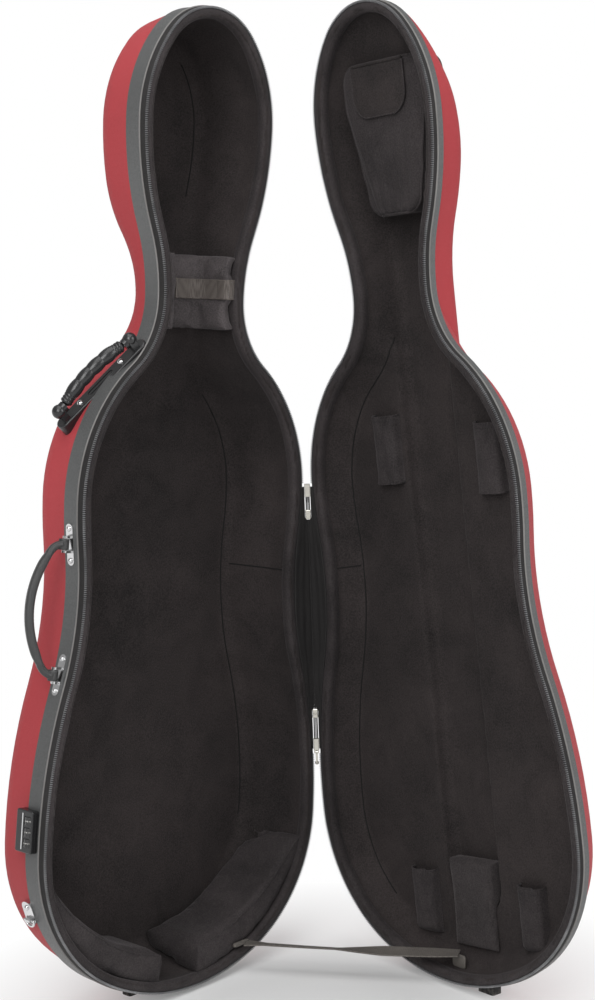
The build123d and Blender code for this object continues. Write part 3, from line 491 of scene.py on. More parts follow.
def skin_grain(tree, place, facing, pitch):
    """Pebbled grain of vinyl and leather, with finer pores inside the pebbles."""
    scale = calc(tree, "DIVIDE", 1.0, pitch)
    cells = add(tree, "TexVoronoi", feature="DISTANCE_TO_EDGE")
    wire(tree, place, cells.inputs["Vector"])
    wire(tree, scale, cells.inputs["Scale"])
    pebble = ranged(tree, cells.outputs["Distance"], 0.0, 0.35)
    pores = speckle(tree, place, calc(tree, "MULTIPLY", scale, 2.6), 2.0, 0.5)
    height = weighted(tree, pores, 0.35, pebble, 0.65)
    return height, ranged(tree, height, 0.2, 0.9)


def webbing_ribs(tree, place, facing, pitch):
    """Cross ribs of narrow woven webbing, with the short threads that make each rib."""
    x, y, z = in_turns(tree, place, pitch)
    along = calc(tree, "ADD", x, y)
    rib = calc(tree, "ABSOLUTE", calc(tree, "SINE", calc(tree, "MULTIPLY", along, 0.5)))
    threads = calc(tree, "SINE", calc(tree, "MULTIPLY_ADD", z, 1.9, along))
    height = weighted(tree, threads, 0.16, rib, 0.8)
    return height, ranged(tree, height, 0.0, 0.95)


def handling_marks(tree, place, facing, pitch):
    """Fine handling marks on metal and moulded parts."""
    stretched = add(tree, "VectorMath", {0: place, 1: (1.0, 1.0, 0.18)}, operation="MULTIPLY").outputs[0]
    lines = speckle(tree, stretched, calc(tree, "DIVIDE", 1.0, pitch), 4.0, 0.65)
    return lines, weighted(tree, lines, 0.5, speckle(tree, place, 60.0, 2.0, 0.5), 0.5)


def colour_drift():
    """Two tones of one colour over the thread or grain, with broad patches and floor dust."""
    inputs = [
        ("Place", VECTOR, None),
        ("Shade", FLOAT, 0.5),
        ("Deep", COLOUR, (0, 0, 0, 1)),
        ("Light", COLOUR, (1, 1, 1, 1)),
        ("Patch", FLOAT, 4.0),
        ("Dust", FLOAT, 0.1),
    ]
    tree, start, stop = new_group("colour drift", inputs, [("Colour", COLOUR)])
    broad = speckle(tree, start["Place"], start["Patch"], 2.0, 0.5, 0.3)
    tone = calc(tree, "MULTIPLY_ADD", start["Shade"], 0.6, calc(tree, "MULTIPLY_ADD", broad, 0.9, -0.25))
    colour = mixed_colour(tree, ranged(tree, tone, 0.0, 1.0), start["Deep"], start["Light"])
    low = ranged(tree, parts_of(tree, start["Place"])[2], 0.16, 0.0)
    lint = ranged(tree, speckle(tree, start["Place"], 90.0, 4.0, 0.7), 0.5, 0.72)
    dusty = calc(tree, "MULTIPLY", calc(tree, "MULTIPLY", low, lint), start["Dust"])
    wire(tree, mixed_colour(tree, dusty, colour, (0.33, 0.31, 0.28, 1)), stop["Colour"])
    return tree


def rubbed_edges():
    """Mask of the edges that hands and floors have rubbed, broken up so that it isn't even."""
    inputs = [("Place", VECTOR, None), ("Reach", FLOAT, 0.0015), ("Amount", FLOAT, 0.5)]
    tree, start, stop = new_group("rubbed edges", inputs, [("Mask", FLOAT)])
    bevel = add(tree, "Bevel", {"Radius": start["Reach"]}, samples=4)
    own = add(tree, "NewGeometry").outputs["Normal"]
    dot = add(tree, "VectorMath", {0: bevel.outputs[0], 1: own}, operation="DOT_PRODUCT")
    edge = ranged(tree, dot.outputs["Value"], 0.995, 0.8)
    broken = ranged(tree, speckle(tree, start["Place"], 260.0, 4.0, 0.7), 0.38, 0.62)
    wire(tree, calc(tree, "MULTIPLY", calc(tree, "MULTIPLY", edge, broken), start["Amount"]), stop["Mask"])
    return tree


DRIFT = colour_drift()
RUBBED = rubbed_edges()
WEAVE = texture_group("woven threads", woven_threads)
NAP = texture_group("short nap", short_nap)
GRAIN = texture_group("skin grain", skin_grain)
RIBS = texture_group("webbing ribs", webbing_ribs)
MARKS = texture_group("handling marks", handling_marks)


def finish(name, texture, pitch, relief, deep, light, rough, patch, dust, rubbed=None, **plain):
    """A finish: a texture group for the threads or grain, its colours, gloss and wear.
    Settings that are the same all over go on the shader's own sockets."""
    made = bpy.data.materials.new(name)
    made.use_nodes = True
    tree = made.node_tree
    shader = tree.nodes["Principled BSDF"]
    at = add(tree, "TexCoord").outputs
    inputs = {"Place": at["Object"], "Facing": at["Normal"], "Pitch": pitch / 1000}
    grain = add(tree, "Group", inputs, node_tree=texture)
    inputs = {"Place": at["Object"], "Shade": grain.outputs["Shade"], "Patch": patch, "Dust": dust}
    inputs.update({"Deep": (*deep, 1), "Light": (*light, 1)})
    colour = add(tree, "Group", inputs, node_tree=DRIFT).outputs["Colour"]
    gloss = ranged(tree, grain.outputs["Shade"], 0.0, 1.0, rough[1], rough[0])
    if rubbed:
        amount, worn = rubbed
        inputs = {"Place": at["Object"], "Amount": amount}
        mask = add(tree, "Group", inputs, node_tree=RUBBED).outputs["Mask"]
        colour = mixed_colour(tree, mask, colour, (*worn, 1))
        gloss = calc(tree, "MULTIPLY_ADD", mask, 0.25, gloss)
    wire(tree, colour, shader.inputs["Base Color"])
    wire(tree, gloss, shader.inputs["Roughness"])
    bump = add(tree, "Bump", {"Distance": relief / 1000, "Strength": 0.8, "Height": grain.outputs["Height"]})
    wire(tree, bump.outputs[0], shader.inputs["Normal"])
    for label, value in plain.items():
        shader.inputs[label.replace("_", " ")].default_value = value
    return made


COVER = finish("red woven cover", WEAVE, 1.6, 0.4, (0.31, 0.018, 0.024), (0.54, 0.05, 0.062),
               (0.66, 0.86), 3.0, 0.12, Sheen_Weight=0.05, Sheen_Roughness=0.4)
VELOUR = finish("black brown velour", NAP, 2.0, 0.8, (0.0045, 0.003, 0.003), (0.038, 0.029, 0.0285),
                (0.85, 0.97), 7.0, 0.04, Sheen_Weight=0.06, Sheen_Roughness=0.4,
                Sheen_Tint=(0.7, 0.62, 0.62, 1))
PADDING = finish("velour over padding", NAP, 2.0, 0.8, (0.007, 0.005, 0.0055), (0.05, 0.041, 0.042),
                 (0.82, 0.95), 9.0, 0.05, Sheen_Weight=0.12, Sheen_Roughness=0.35,
                 Sheen_Tint=(0.7, 0.65, 0.67, 1))
NECK_PADDING = finish("paler velour over the neck cradle", NAP, 2.0, 0.8, (0.014, 0.0115, 0.012),
                      (0.098, 0.084, 0.086), (0.82, 0.95), 9.0, 0.05, Sheen_Weight=0.16,
                      Sheen_Roughness=0.35, Sheen_Tint=(0.7, 0.65, 0.67, 1))
# Near-black seam colour: the seams and stitches are dark thread, and the colour is pushed darker than the
# black velour as painted shade for the creases where lining panels meet.
CREASE_SHADED_SEAM = finish("sewn seam with painted crease shade", WEAVE, 0.8, 0.2, (0.001, 0.0008, 0.0008), (0.004, 0.003, 0.003),
              (0.8, 0.95), 20.0, 0.0)
VINYL = finish("black grained vinyl", GRAIN, 1.7, 0.3, (0.044, 0.045, 0.045), (0.125, 0.128, 0.128),
               (0.3, 0.46), 3.0, 0.1, (0.35, (0.16, 0.16, 0.155)), Specular_IOR_Level=0.8)
PIPING = finish("grey piping cord", WEAVE, 0.9, 0.2, (0.12, 0.117, 0.112), (0.26, 0.25, 0.245),
                (0.5, 0.7), 12.0, 0.1)
TAPE = finish("black zip tape", WEAVE, 0.8, 0.2, (0.006, 0.005, 0.005), (0.026, 0.024, 0.024),
              (0.7, 0.9), 9.0, 0.08)
COIL = finish("zip teeth", MARKS, 1.5, 0.06, (0.1, 0.1, 0.105), (0.42, 0.42, 0.43), (0.25, 0.45),
              40.0, 0.05, Metallic=0.55)
MOULDED = finish("black moulded plastic", MARKS, 1.2, 0.03, (0.007, 0.007, 0.008), (0.02, 0.02, 0.021),
                 (0.16, 0.34), 12.0, 0.08, (0.3, (0.1, 0.1, 0.1)), Specular_IOR_Level=0.6)
DIAL = finish("satin dial plastic", MARKS, 0.8, 0.03, (0.02, 0.02, 0.021), (0.05, 0.05, 0.05),
              (0.3, 0.45), 30.0, 0.05, (0.4, (0.2, 0.2, 0.2)))
FIGURES = finish("white dial figures", MARKS, 0.6, 0.02, (0.55, 0.54, 0.5), (0.78, 0.77, 0.74),
                 (0.4, 0.6), 30.0, 0.0)
LEATHER = finish("black handle leather", GRAIN, 1.25, 0.28, (0.014, 0.014, 0.0145), (0.06, 0.06, 0.06),
                 (0.24, 0.42), 14.0, 0.08, (0.45, (0.12, 0.11, 0.1)), Specular_IOR_Level=0.6)
THREAD = finish("black waxed thread", WEAVE, 0.5, 0.1, (0.06, 0.06, 0.058), (0.17, 0.165, 0.16),
                (0.4, 0.6), 30.0, 0.0)
CHROME = finish("polished fittings", MARKS, 1.0, 0.015, (0.56, 0.56, 0.57), (0.8, 0.8, 0.8),
                (0.08, 0.24), 25.0, 0.05, (0.35, (0.32, 0.3, 0.28)), Metallic=1.0)
SLIDER = finish("nickel slider", MARKS, 0.9, 0.02, (0.42, 0.4, 0.36), (0.72, 0.7, 0.64),
                (0.16, 0.34), 40.0, 0.05, (0.4, (0.25, 0.23, 0.2)), Metallic=1.0)
NECK_WEB = finish("grey brown neck webbing", RIBS, 2.2, 0.45, (0.05, 0.041, 0.036), (0.14, 0.12, 0.108),
                  (0.65, 0.85), 9.0, 0.05)
STAY_WEB = finish("olive grey stay webbing", RIBS, 2.6, 0.5, (0.055, 0.05, 0.046), (0.17, 0.152, 0.135),
                  (0.6, 0.82), 9.0, 0.12)
RUBBER = finish("black rubber foot", GRAIN, 1.0, 0.12, (0.012, 0.012, 0.012), (0.03, 0.03, 0.03),
                (0.6, 0.8), 20.0, 0.5, (0.5, (0.12, 0.115, 0.11)))
BLOCK = finish("foam block cover", NAP, 2.2, 0.9, (0.007, 0.0055, 0.0055), (0.05, 0.041, 0.042),
               (0.85, 0.97), 12.0, 0.04, Sheen_Weight=0.14, Sheen_Roughness=0.5,
               Sheen_Tint=(0.75, 0.68, 0.68, 1))

NODE_FINISHES = {
    COVER: ("body_shell", "lid_shell"),
    VINYL: ("body_band", "lid_band"),
    TAPE: ("body_zip_tape", "lid_zip_tape"),
    MOULDED: ("shoulder_base", "shoulder_grip", "lock_housing"),
    DIAL: ("lock_dial_low", "lock_dial_middle", "lock_dial_high"),
    CHROME: (
        "shoulder_pin_low", "shoulder_pin_high", "shoulder_rivet_low", "shoulder_rivet_high",
        "side_bracket_low", "side_bracket_high", "lock_trim", "lock_spindle", "ring_plate", "strap_ring",
    ),
    SLIDER: ("zip_slider_low", "zip_slider_high", "zip_pull_low", "zip_pull_high"),
    RUBBER: ("body_foot_free_side", "body_foot_hinge_side", "lid_foot_free_side", "lid_foot_hinge_side"),
}
for node_finish, names in NODE_FINISHES.items():
    for name in names:
        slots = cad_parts[name].data.materials
        if len(slots) == 0:
            slots.append(node_finish)
        for k in range(len(slots)):
            slots[k] = node_finish


# Zip teeth, piping and padded roll round both rims

def tooth_faces():
    """Faces of one tooth: three rings of four pairs of points, from its face to its waist."""
    faces = []
    for ring in (0, 8):
        for a in (ring, ring + 2, ring + 4):
            faces.append((a, a + 2, a + 10, a + 8))
            faces.append((a + 1, a + 9, a + 11, a + 3))
        faces.append((ring, ring + 8, ring + 9, ring + 1))
        faces.append((ring + 6, ring + 7, ring + 15, ring + 14))
    for a in (0, 2, 4):
        faces.append((a, a + 1, a + 3, a + 2))
        faces.append((a + 16, a + 18, a + 19, a + 17))
    return faces


def zip_teeth(half, body, place):
    """One row of zip teeth round the rim, open where the gusset takes over at the hinge."""
    line = rim_line(2.7)
    height = leaned(line[:, 0], line[:, 1])[1]
    on_gusset = (line[:, 0] < 0) & (height > 286) & (height < 680)
    across = np.array((0.15, 1.1, 2.3, 3.2))
    half_width = np.array((0.62, 0.8, 0.62, 0.42))
    quads = tooth_faces()
    teeth = []
    for u, v, nu, nv in line[~on_gusset]:
        points = []
        for w, slim in ((3.0, 1.0), (1.1, 1.0), (0.45, 0.55)):
            for inset, wide in zip(across, half_width * slim):
                for sign in (-1, 1):
                    points.append((u - nu * inset - nv * wide * sign, v - nv * inset + nu * wide * sign, w))
        teeth.append((points, quads))
    points, faces = joined(teeth)
    stands_for = (half + "_zip_teeth",)
    return make_piece(half + "_zip_row", place(points), faces, COIL, "zip_coil", body, stands_for, False)


def tape_fold(half, body, place):
    """The fold of woven tape that the teeth are sewn to."""
    line = rim_line(6)
    section = ((0.12, 3.18), (0.12, 2.92), (3.7, 2.92), (3.7, 3.18))
    points = np.stack([inside_rim(line, inset, w) for inset, w in section], 1)
    faces = grid_faces(len(line), 4, True, True)
    return make_piece(half + "_tape_fold", place(points), faces, TAPE, "zip_tape", body, (), False)


def piping_cord(half, body, place, start):
    """Corded piping between the zip tape and the vinyl band."""
    line = rim_line(4)
    sides = 10
    wander = handmade(len(line), 6, 0.06, 11)
    turns = 2 * pi * np.arange(sides) / sides
    points = np.stack([
        inside_rim(line, 0.05 - (1.42 + wander) * cos(turn), start + 1.3 + 1.24 * sin(turn))
        for turn in turns
    ], 1)
    faces = grid_faces(len(line), sides, True, True)
    stands_for = (half + "_piping",)
    return make_piece(half + "_piping_cord", place(points), faces, PIPING, "piping", body, stands_for)


# Section of the roll: inset from the rim and depth
ROLL = (
    (3.35, 3.15), (3.6, 2.2), (4.5, 1.5), (6.2, 1.0), (8.6, 0.85), (11.2, 1.15),
    (13.4, 2.1), (15.1, 3.9), (16.0, 6.4), (16.1, 9.2), (15.5, 12.4), (14.6, 15.4),
    (13.4, 17.6), (11.0, 17.0), (8.0, 12.0), (6.4, 6.0),
)


def rim_roll(half, body, place, seed):
    """Padded velour roll that edges the lining, a little uneven as it was glued down by hand."""
    line = rim_line(5)
    wander = handmade(len(line), 9, 0.5, seed)
    lift = handmade(len(line), 5, 0.22, seed + 1)
    columns = []
    for inset, w in ROLL:
        loose = min(1.0, max(0.0, (inset - 4) / 8))
        columns.append(inside_rim(line, inset + wander * loose, w + lift * loose))
    faces = grid_faces(len(line), len(ROLL), True, True)
    made = make_piece(half + "_rim_roll", place(np.stack(columns, 1)), faces, PADDING, "velour", body)
    finer(made)
    return made


HALVES = (("body", "case_body", in_body, 12.0, 21), ("lid", "lid", in_lid, 8.5, 33))
for half, body, place, piping_start, seed in HALVES:
    zip_teeth(half, body, place)
    tape_fold(half, body, place)
    piping_cord(half, body, place, piping_start)
    rim_roll(half, body, place, seed)


# Linings

# Tucks down the lid's panel: where across, half width and height
LID_TUCKS = ((-52, 3.2, 1.0), (-30, 4.5, 0.8), (8, 7, 0.7), (34, 4.5, 0.8), (52, 3.2, 1.0))


def brushed_padding(made, lid, seed):
    """Small dents and long soft tucks in a lining, all towards the shell or just off it."""
    points = mesh_values(made)
    case = to_case(points, lid)
    move = np.empty(len(points))
    for k, (u, v, w) in enumerate(case):
        soft = noise.noise(Vector((u / 90 + seed, v / 120, w / 60)))
        small = noise.noise(Vector((u / 26, v / 40 + seed, w / 26)))
        move[k] = 0.8 * soft + 0.35 * small
    move *= np.clip((case[:, 2] - 20) / 12, 0, 1)
    if lid:
        on_panel = np.clip((case[:, 2] - 42) / 6, 0, 1) * (case[:, 1] < 1000)
        for at, width, lift in LID_TUCKS:
            wander = 5 * np.sin(case[:, 1] / 150 + at)
            move += on_panel * lift * np.exp(-((case[:, 0] - at - wander) / width) ** 2)
    set_points(made, points + mesh_values(made, "normal") * move[:, None] / 1000)
    return made


VOXEL = 3.6
body_liner = softened_copy("body_liner", ("body_lining",), VELOUR, "case_body",
                           VOXEL, 3, "body_shell")
brushed_padding(body_liner, False, 3.0)
lid_liner = softened_copy("lid_liner", ("lid_lining",), VELOUR, "lid", VOXEL, 3, "lid_shell")
brushed_padding(lid_liner, True, 8.0)


def lining_seams(name, made, body, place, runs):
    """Sewn seams of a lining, each laid on its surface and a little sunk. Their near-black colour is painted
    shade for the crease where the panels meet.
    """
    seams = [round_line(lying_on(made, evenly(place(run), 0.004), 0.0001), 0.0009, 6) for run in runs]
    return make_piece(name, *joined(seams), CREASE_SHADED_SEAM, "velour", body)


def floor_seam(low, high, side, inset, w):
    """The line where a lining's wall meets its floor, between two heights of one side."""
    line = rim_line(4)
    keep = (line[:, 0] * side > 0) & (line[:, 1] > low) & (line[:, 1] < high)
    path = inside_rim(line[keep], inset, w)
    return path[np.argsort(path[:, 1])]


def waist_seam(side, top, bottom, wall_from, lean):
    """A seam down the wall of the waist, from the rim to the floor."""
    w = np.linspace(top, bottom, 20)
    inset = WALL_INSET + np.maximum(0, w - wall_from) * tan(radians(lean))
    return np.stack((side * (WAIST_HALF - inset), np.full(20, WAIST_AT - 2), w), -1)


LID_FLOOR_INSET = WALL_INSET + (PANEL_FLOOR - 20) * tan(radians(LID_WALL_LEAN))
BODY_FLOOR_INSET = WALL_INSET + 77.5 * tan(radians(BODY_WALL_LEAN)) + 8
lining_seams("lid_liner_seams", lid_liner, "lid", in_lid, [
    floor_seam(70, 905, -1, LID_FLOOR_INSET, PANEL_FLOOR),
    floor_seam(70, 905, 1, LID_FLOOR_INSET, PANEL_FLOOR),
    waist_seam(-1, 16, 46, 20, LID_WALL_LEAN),
    waist_seam(1, 16, 46, 20, LID_WALL_LEAN),
])
lining_seams("body_liner_seams", body_liner, "case_body", in_body, [
    waist_seam(-1, 17, 108, 40, BODY_WALL_LEAN),
    waist_seam(1, 17, 108, 40, BODY_WALL_LEAN),
    floor_seam(190, 1290, -1, BODY_FLOOR_INSET, BODY_FLOOR),
    floor_seam(190, 1290, 1, BODY_FLOOR_INSET, BODY_FLOOR),
])


# Neck support: puffed pad, its strap and the folded strap end

neck_pad = softened_copy("neck_pad", ("neck_cradle",), NECK_PADDING, "case_body", 4.5, 2)
firm = mesh_values(neck_pad)
puffed(neck_pad, 4.0, 5.0, 2.0)
loose = mesh_values(neck_pad)
under_strap = np.clip((22 - np.abs(to_case(firm, False)[:, 1] - WEB_AT)) / 7, 0, 1)[:, None]
set_points(neck_pad, loose * (1 - under_strap) + firm * under_strap)
finer(neck_pad)

# Upper half of the webbing's section: across in widths and up in thicknesses, with thicker woven edges
WEBBING = (
    (-0.485, 0.62), (-0.44, 0.62), (-0.41, 0.42), (-0.2, 0.5),
    (0.2, 0.5), (0.41, 0.42), (0.44, 0.62), (0.485, 0.62),
)
RIB_PITCH = 0.0026


def ribbon(path, across, width, thickness):
    """Flat webbing along a path, with a thicker woven edge at each side."""
    path = np.asarray(path, float)
    across = np.broadcast_to(across, path.shape)
    across = across / np.linalg.norm(across, axis=1)[:, None]
    up = np.cross(np.gradient(path, axis=0), across)
    up = up / np.linalg.norm(up, axis=1)[:, None]
    ribbed = 1 + 0.3 * np.sin(2 * pi * distance_along(path) / RIB_PITCH)[:, None]
    section = ((-0.5, 0), *WEBBING, (0.5, 0), *((side, -rise) for side, rise in WEBBING[::-1]))
    columns = [path + across * side * width + up * rise * thickness * ribbed for side, rise in section]
    return np.stack(columns, 1), tube_faces(len(path), len(section))


def neck_strap_path():
    """From the top of the hinge-side pad, down and round the trough to the other side."""
    off_pad = 1.6
    side = NECK_CHANNEL - off_pad
    turn = CHANNEL_ROUND - off_pad
    bend = side - turn
    low = CHANNEL_FLOOR - off_pad - turn
    path = [(-57.5, 6.6), (-52, 5.4), (-48, 5.6), (-45, 7.6)]
    path += [(-side, 11), (-side, 20), (-side, 32), (-side, low)]
    path += [(-bend - turn * cos(a), low + turn * sin(a)) for a in np.linspace(0.2, pi / 2, 7)]
    path += [(-10, low + turn), (10, low + turn)]
    path += [(bend + turn * sin(a), low + turn * cos(a)) for a in np.linspace(0, pi / 2 - 0.2, 7)]
    path += [(side, low), (side, 32), (side, 20), (side, 9.5)]
    return evenly([(u, WEB_AT, w) for u, w in path], 0.65)


along_body = in_body((0, 1, 0)) - in_body((0, 0, 0))
strap = ribbon(in_body(neck_strap_path()), along_body, 0.027, 0.0016)
neck_band = make_piece("neck_band", *strap, NECK_WEB, "webbing", "case_body", ("neck_strap",))
fold_line = [(u, WEB_AT, w) for u, w in ((-43.2, 7.4), (-42.0, 9.2), (-41.7, 14), (-42.2, 21.6))]
strap = ribbon(in_body(evenly(fold_line, 1.2)), along_body, 0.0262, 0.0015)
band_end = make_piece("neck_band_end", *strap, NECK_WEB, "webbing", "case_body", ("neck_strap_end",))

# Box stitch on the strap's top: from and to, across and along
BOX_STITCH = (
    (-55.5, -10, -46.5, -10), (-55.5, 10, -46.5, 10), (-55.5, -10, -55.5, 10), (-46.8, -10, -46.8, 10),
)
box_rows = []
for u, v, to_u, to_v in BOX_STITCH:
    row = in_body([(u, WEB_AT + v, 5.2), (to_u, WEB_AT + to_v, 5.2)])
    box_rows.append(lying_on(neck_band, evenly(row, 0.001), 0.0002))
thread_stitches("neck_band_stitching", box_rows, "case_body", THREAD, "webbing", 2.6, 1.0, 0.32)


# Bottom bolsters and the foam block

BOLSTER_FRONT = 257.0
BOLSTER_CENTRE = 57.0 + BOLSTER_FRONT


def bolster(side, name):
    """Puffed bolster with the sewn edge along its front."""
    made = softened_copy("bolster_pad_" + name, ("bolster_" + name,), PADDING, "case_body", 5.0, 2)
    puffed(made, 4.0, 5.0, 2.0)
    finer(made)
    u = np.linspace(33, 222, 60)
    front = np.stack((side * u, BOLSTER_CENTRE - np.sqrt(BOLSTER_FRONT ** 2 - u ** 2), np.full(60, 4.0)), -1)
    front = front[front[:, 1] < 186]
    inner = np.array([(side * 31, v, w) for v, w in ((28, 5), (36, 4.5), (46, 4.5), (55, 4.5))])
    for welt, line, radius in (("bolster_welt_", front, 0.0011), ("bolster_end_welt_", inner, 0.001)):
        edge = lying_on(made, evenly(in_body(line), 0.003), 0.0002)
        make_piece(welt + name, *round_line(edge, radius), PADDING, "velour", "case_body")
    return made


bolster(1, "free_side")
bolster(-1, "hinge_side")
block_pad = softened_copy("block_pad", ("foam_block",), BLOCK, "lid", 3.0, 2)
puffed(block_pad, 2.0, 2.6, 1.2)
finer(block_pad)


# Bow holders: sewn velour sleeves with slack mouths

SLEEVE_HALF = 22.0
SLEEVE_LONG = 46
SLEEVE_RISE = 15.2


def bow_holder(name, node, middle, open_below, seed):
    """Velour sleeve on the lid panel. Its mouth sags and its cover creases towards the stitching."""
    rng = np.random.default_rng(seed)
    lean = rng.uniform(-0.12, 0.12)
    phase = rng.uniform(0, 6)
    rows = np.linspace(-1, 1, 29)
    columns = np.linspace(-1, 1, 25)
    points = np.empty((len(rows), len(columns), 3))
    for i, t in enumerate(rows):
        mouth = max(0.0, (t - 0.3) / 0.7) ** 2
        filled = 1.0
        if open_below:
            mouth = max(mouth, max(0.0, (-t - 0.45) / 0.55) ** 2)
        else:
            filled = min(1.0, (t + 1) / 0.22) ** 0.5
        for j, a in enumerate(columns):
            arch = (1 - abs(a) ** 2.6) ** (1 / 2.6) if abs(a) < 1 else 0.0
            rise = SLEEVE_RISE * filled * arch
            rise *= 1 - 0.42 * mouth * np.exp(-(((a - lean) / 0.42) ** 2))
            crease = 0.7 * sin(7.5 * a + phase + 2.2 * t) * (0.35 + 0.65 * mouth) * arch * filled
            crease += 0.45 * sin(9 * t + phase) * arch * filled
            u = middle[0] + a * (SLEEVE_HALF + 1.1 * mouth)
            v = middle[1] + t * SLEEVE_LONG - 1.6 * mouth * (1 - a * a)
            points[i, j] = (u, v, PANEL_FLOOR - 0.4 - rise - crease)
    flange = np.array((1.6, 0, 0))
    points = np.concatenate((points[:, :1] - flange, points, points[:, -1:] + flange), 1)
    made = make_piece(name, *thick_cloth(in_lid(points), 0.0019), PADDING, "velour", "lid", (node,))
    finer(made)
    mouths = (-1, 0) if open_below else (-1,)
    hems = joined(round_line(in_lid(points[row, 1:-1]), 0.0014) for row in mouths)
    make_piece(name + "_hem", *hems, PADDING, "velour", "lid")
    sewn = [in_lid(row - np.array((0, 0, 1.1))) for row in (points[-3, 2:-2], points[:, 1], points[:, -2])]
    thread_stitches(name + "_stitching", sewn, "lid", CREASE_SHADED_SEAM, "velour", 2.8, 1.4, 0.3)
    return made


bow_holder("bow_sleeve_upper_hinge_side", "bow_loop_hinge_side", (-80.0, UPPER_AT + 54), True, 5)
bow_holder("bow_sleeve_upper_free_side", "bow_loop_free_side", (116.0, UPPER_AT + 40), True, 9)
bow_holder("bow_sleeve_lower_hinge_side", "bow_pocket_hinge_side", (-94.0, 97.0), False, 14)
bow_holder("bow_sleeve_lower_free_side", "bow_pocket_free_side", (114.0, 97.0), False, 26)


# Accessory pouch with its flap

POUCH_LOW = HEAD_AT - 130
POUCH_HIGH = HEAD_AT + 72
POUCH_SHOULDER = HEAD_AT + 15
POUCH_CORNER = 22
POUCH_NARROW = 42
POUCH_FLARE = 34
MOUTH_LOW = HEAD_AT + 22
MOUTH_HIGH = HEAD_AT + 60
MOUTH_SHARE = 43 / 76
FLAP_AXIS = (POUCH_HIGH - 2.2, 19.4)
FLAP_CORNER = 30


def cut_corner(near, corner):
    """How far a rounded corner draws the edge in, at a distance into the corner."""
    return corner - (corner ** 2 - near ** 2) ** 0.5


def pouch_half(v):
    """Half width of the pouch at a height: tapered below its shoulder, round at the corners."""
    share = min(1.0, (v - POUCH_LOW) / (POUCH_SHOULDER - POUCH_LOW))
    half = POUCH_NARROW + POUCH_FLARE * share
    for in_from_end in (v - POUCH_LOW, POUCH_HIGH - v):
        half -= cut_corner(max(0.0, POUCH_CORNER - in_from_end), POUCH_CORNER)
    return half


def pouch_bag():
    """Velour bag gathered to its lower end, with an elastic mouth behind the flap."""
    heights = np.concatenate((
        np.linspace(POUCH_LOW + 1, MOUTH_LOW, 34),
        np.linspace(MOUTH_LOW, MOUTH_HIGH, 8)[1:],
        np.linspace(MOUTH_HIGH, POUCH_HIGH - 0.6, 5)[1:],
    ))
    shares = np.concatenate((
        np.linspace(-1, -MOUTH_SHARE, 10),
        np.linspace(-MOUTH_SHARE, MOUTH_SHARE, 21)[1:-1],
        np.linspace(MOUTH_SHARE, 1, 10),
    ))
    skirt = 4
    points = np.empty((len(heights), len(shares) + 2 * skirt, 3))
    for i, v in enumerate(heights):
        half = pouch_half(v)
        gathered = np.clip((POUCH_SHOULDER - v) / 110, 0, 1)
        for j, share in enumerate(shares):
            edge = abs(share) ** 3
            fold = sin(share * 17 + v / 31) * 1.7 * gathered * (0.35 + 0.65 * abs(share))
            fold += sin(v / 7.2 + share * 5) * 0.9 * gathered * edge
            slack = 3.2 * gathered * (1 - share * share)
            round_off = 5.5 * edge * edge + 2.2 * gathered
            w = 23.2 + round_off + fold + slack * 0.5
            points[i, skirt + j] = (share * half, v, max(w, 22.9))
        for k in range(skirt):
            deep = 58 * ((k + 1) / skirt) ** 1.2
            pull = 1.2 * sin(v / 6.1 + k) * gathered
            last = skirt + len(shares) - 1
            for sign, column, edge in ((-1, skirt - 1 - k, skirt), (1, last + 1 + k, last)):
                x, _, w = points[i, edge]
                points[i, column] = (x + sign * (0.8 + pull * 0.4), v, min(w + deep, 66))
    top_row = points[-1:].copy()
    top_row[..., 1] += 0.4
    top_row[..., 2] = np.maximum(top_row[..., 2], 60)
    base_row = points[:1].copy()
    base_row[..., 2] = np.maximum(base_row[..., 2], 64)
    points = np.concatenate((base_row, points, top_row), 0)
    low = 1 + 33
    high = 1 + 40
    left = skirt + 9
    right = skirt + 29
    holes = {(i, j) for i in range(low, high) for j in range(left, right)}
    cloth = thick_cloth(in_lid(points), 0.002, holes)
    made = make_piece("gathered_pouch", *cloth, PADDING, "velour", "lid", ("accessory_pouch",))
    finer(made)
    ring = list(points[low, left:right + 1]) + list(points[low + 1:high + 1, right])
    ring += list(points[high, left:right][::-1]) + list(points[low + 1:high, left][::-1])
    hem = round_line(in_lid(np.array(ring)), 0.0016, 8, True)
    make_piece("pouch_mouth_hem", *hem, PADDING, "velour", "lid")
    front = points[1:-1, skirt:-skirt]
    edge = np.concatenate((front[:, 0], front[-1], front[::-1, -1], front[0, ::-1]))
    binding = round_line(in_lid(evenly(edge, 4) + np.array((0, 0, 0.8))), 0.0021, 8, True)
    make_piece("pouch_binding", *binding, PADDING, "velour", "lid")
    return made


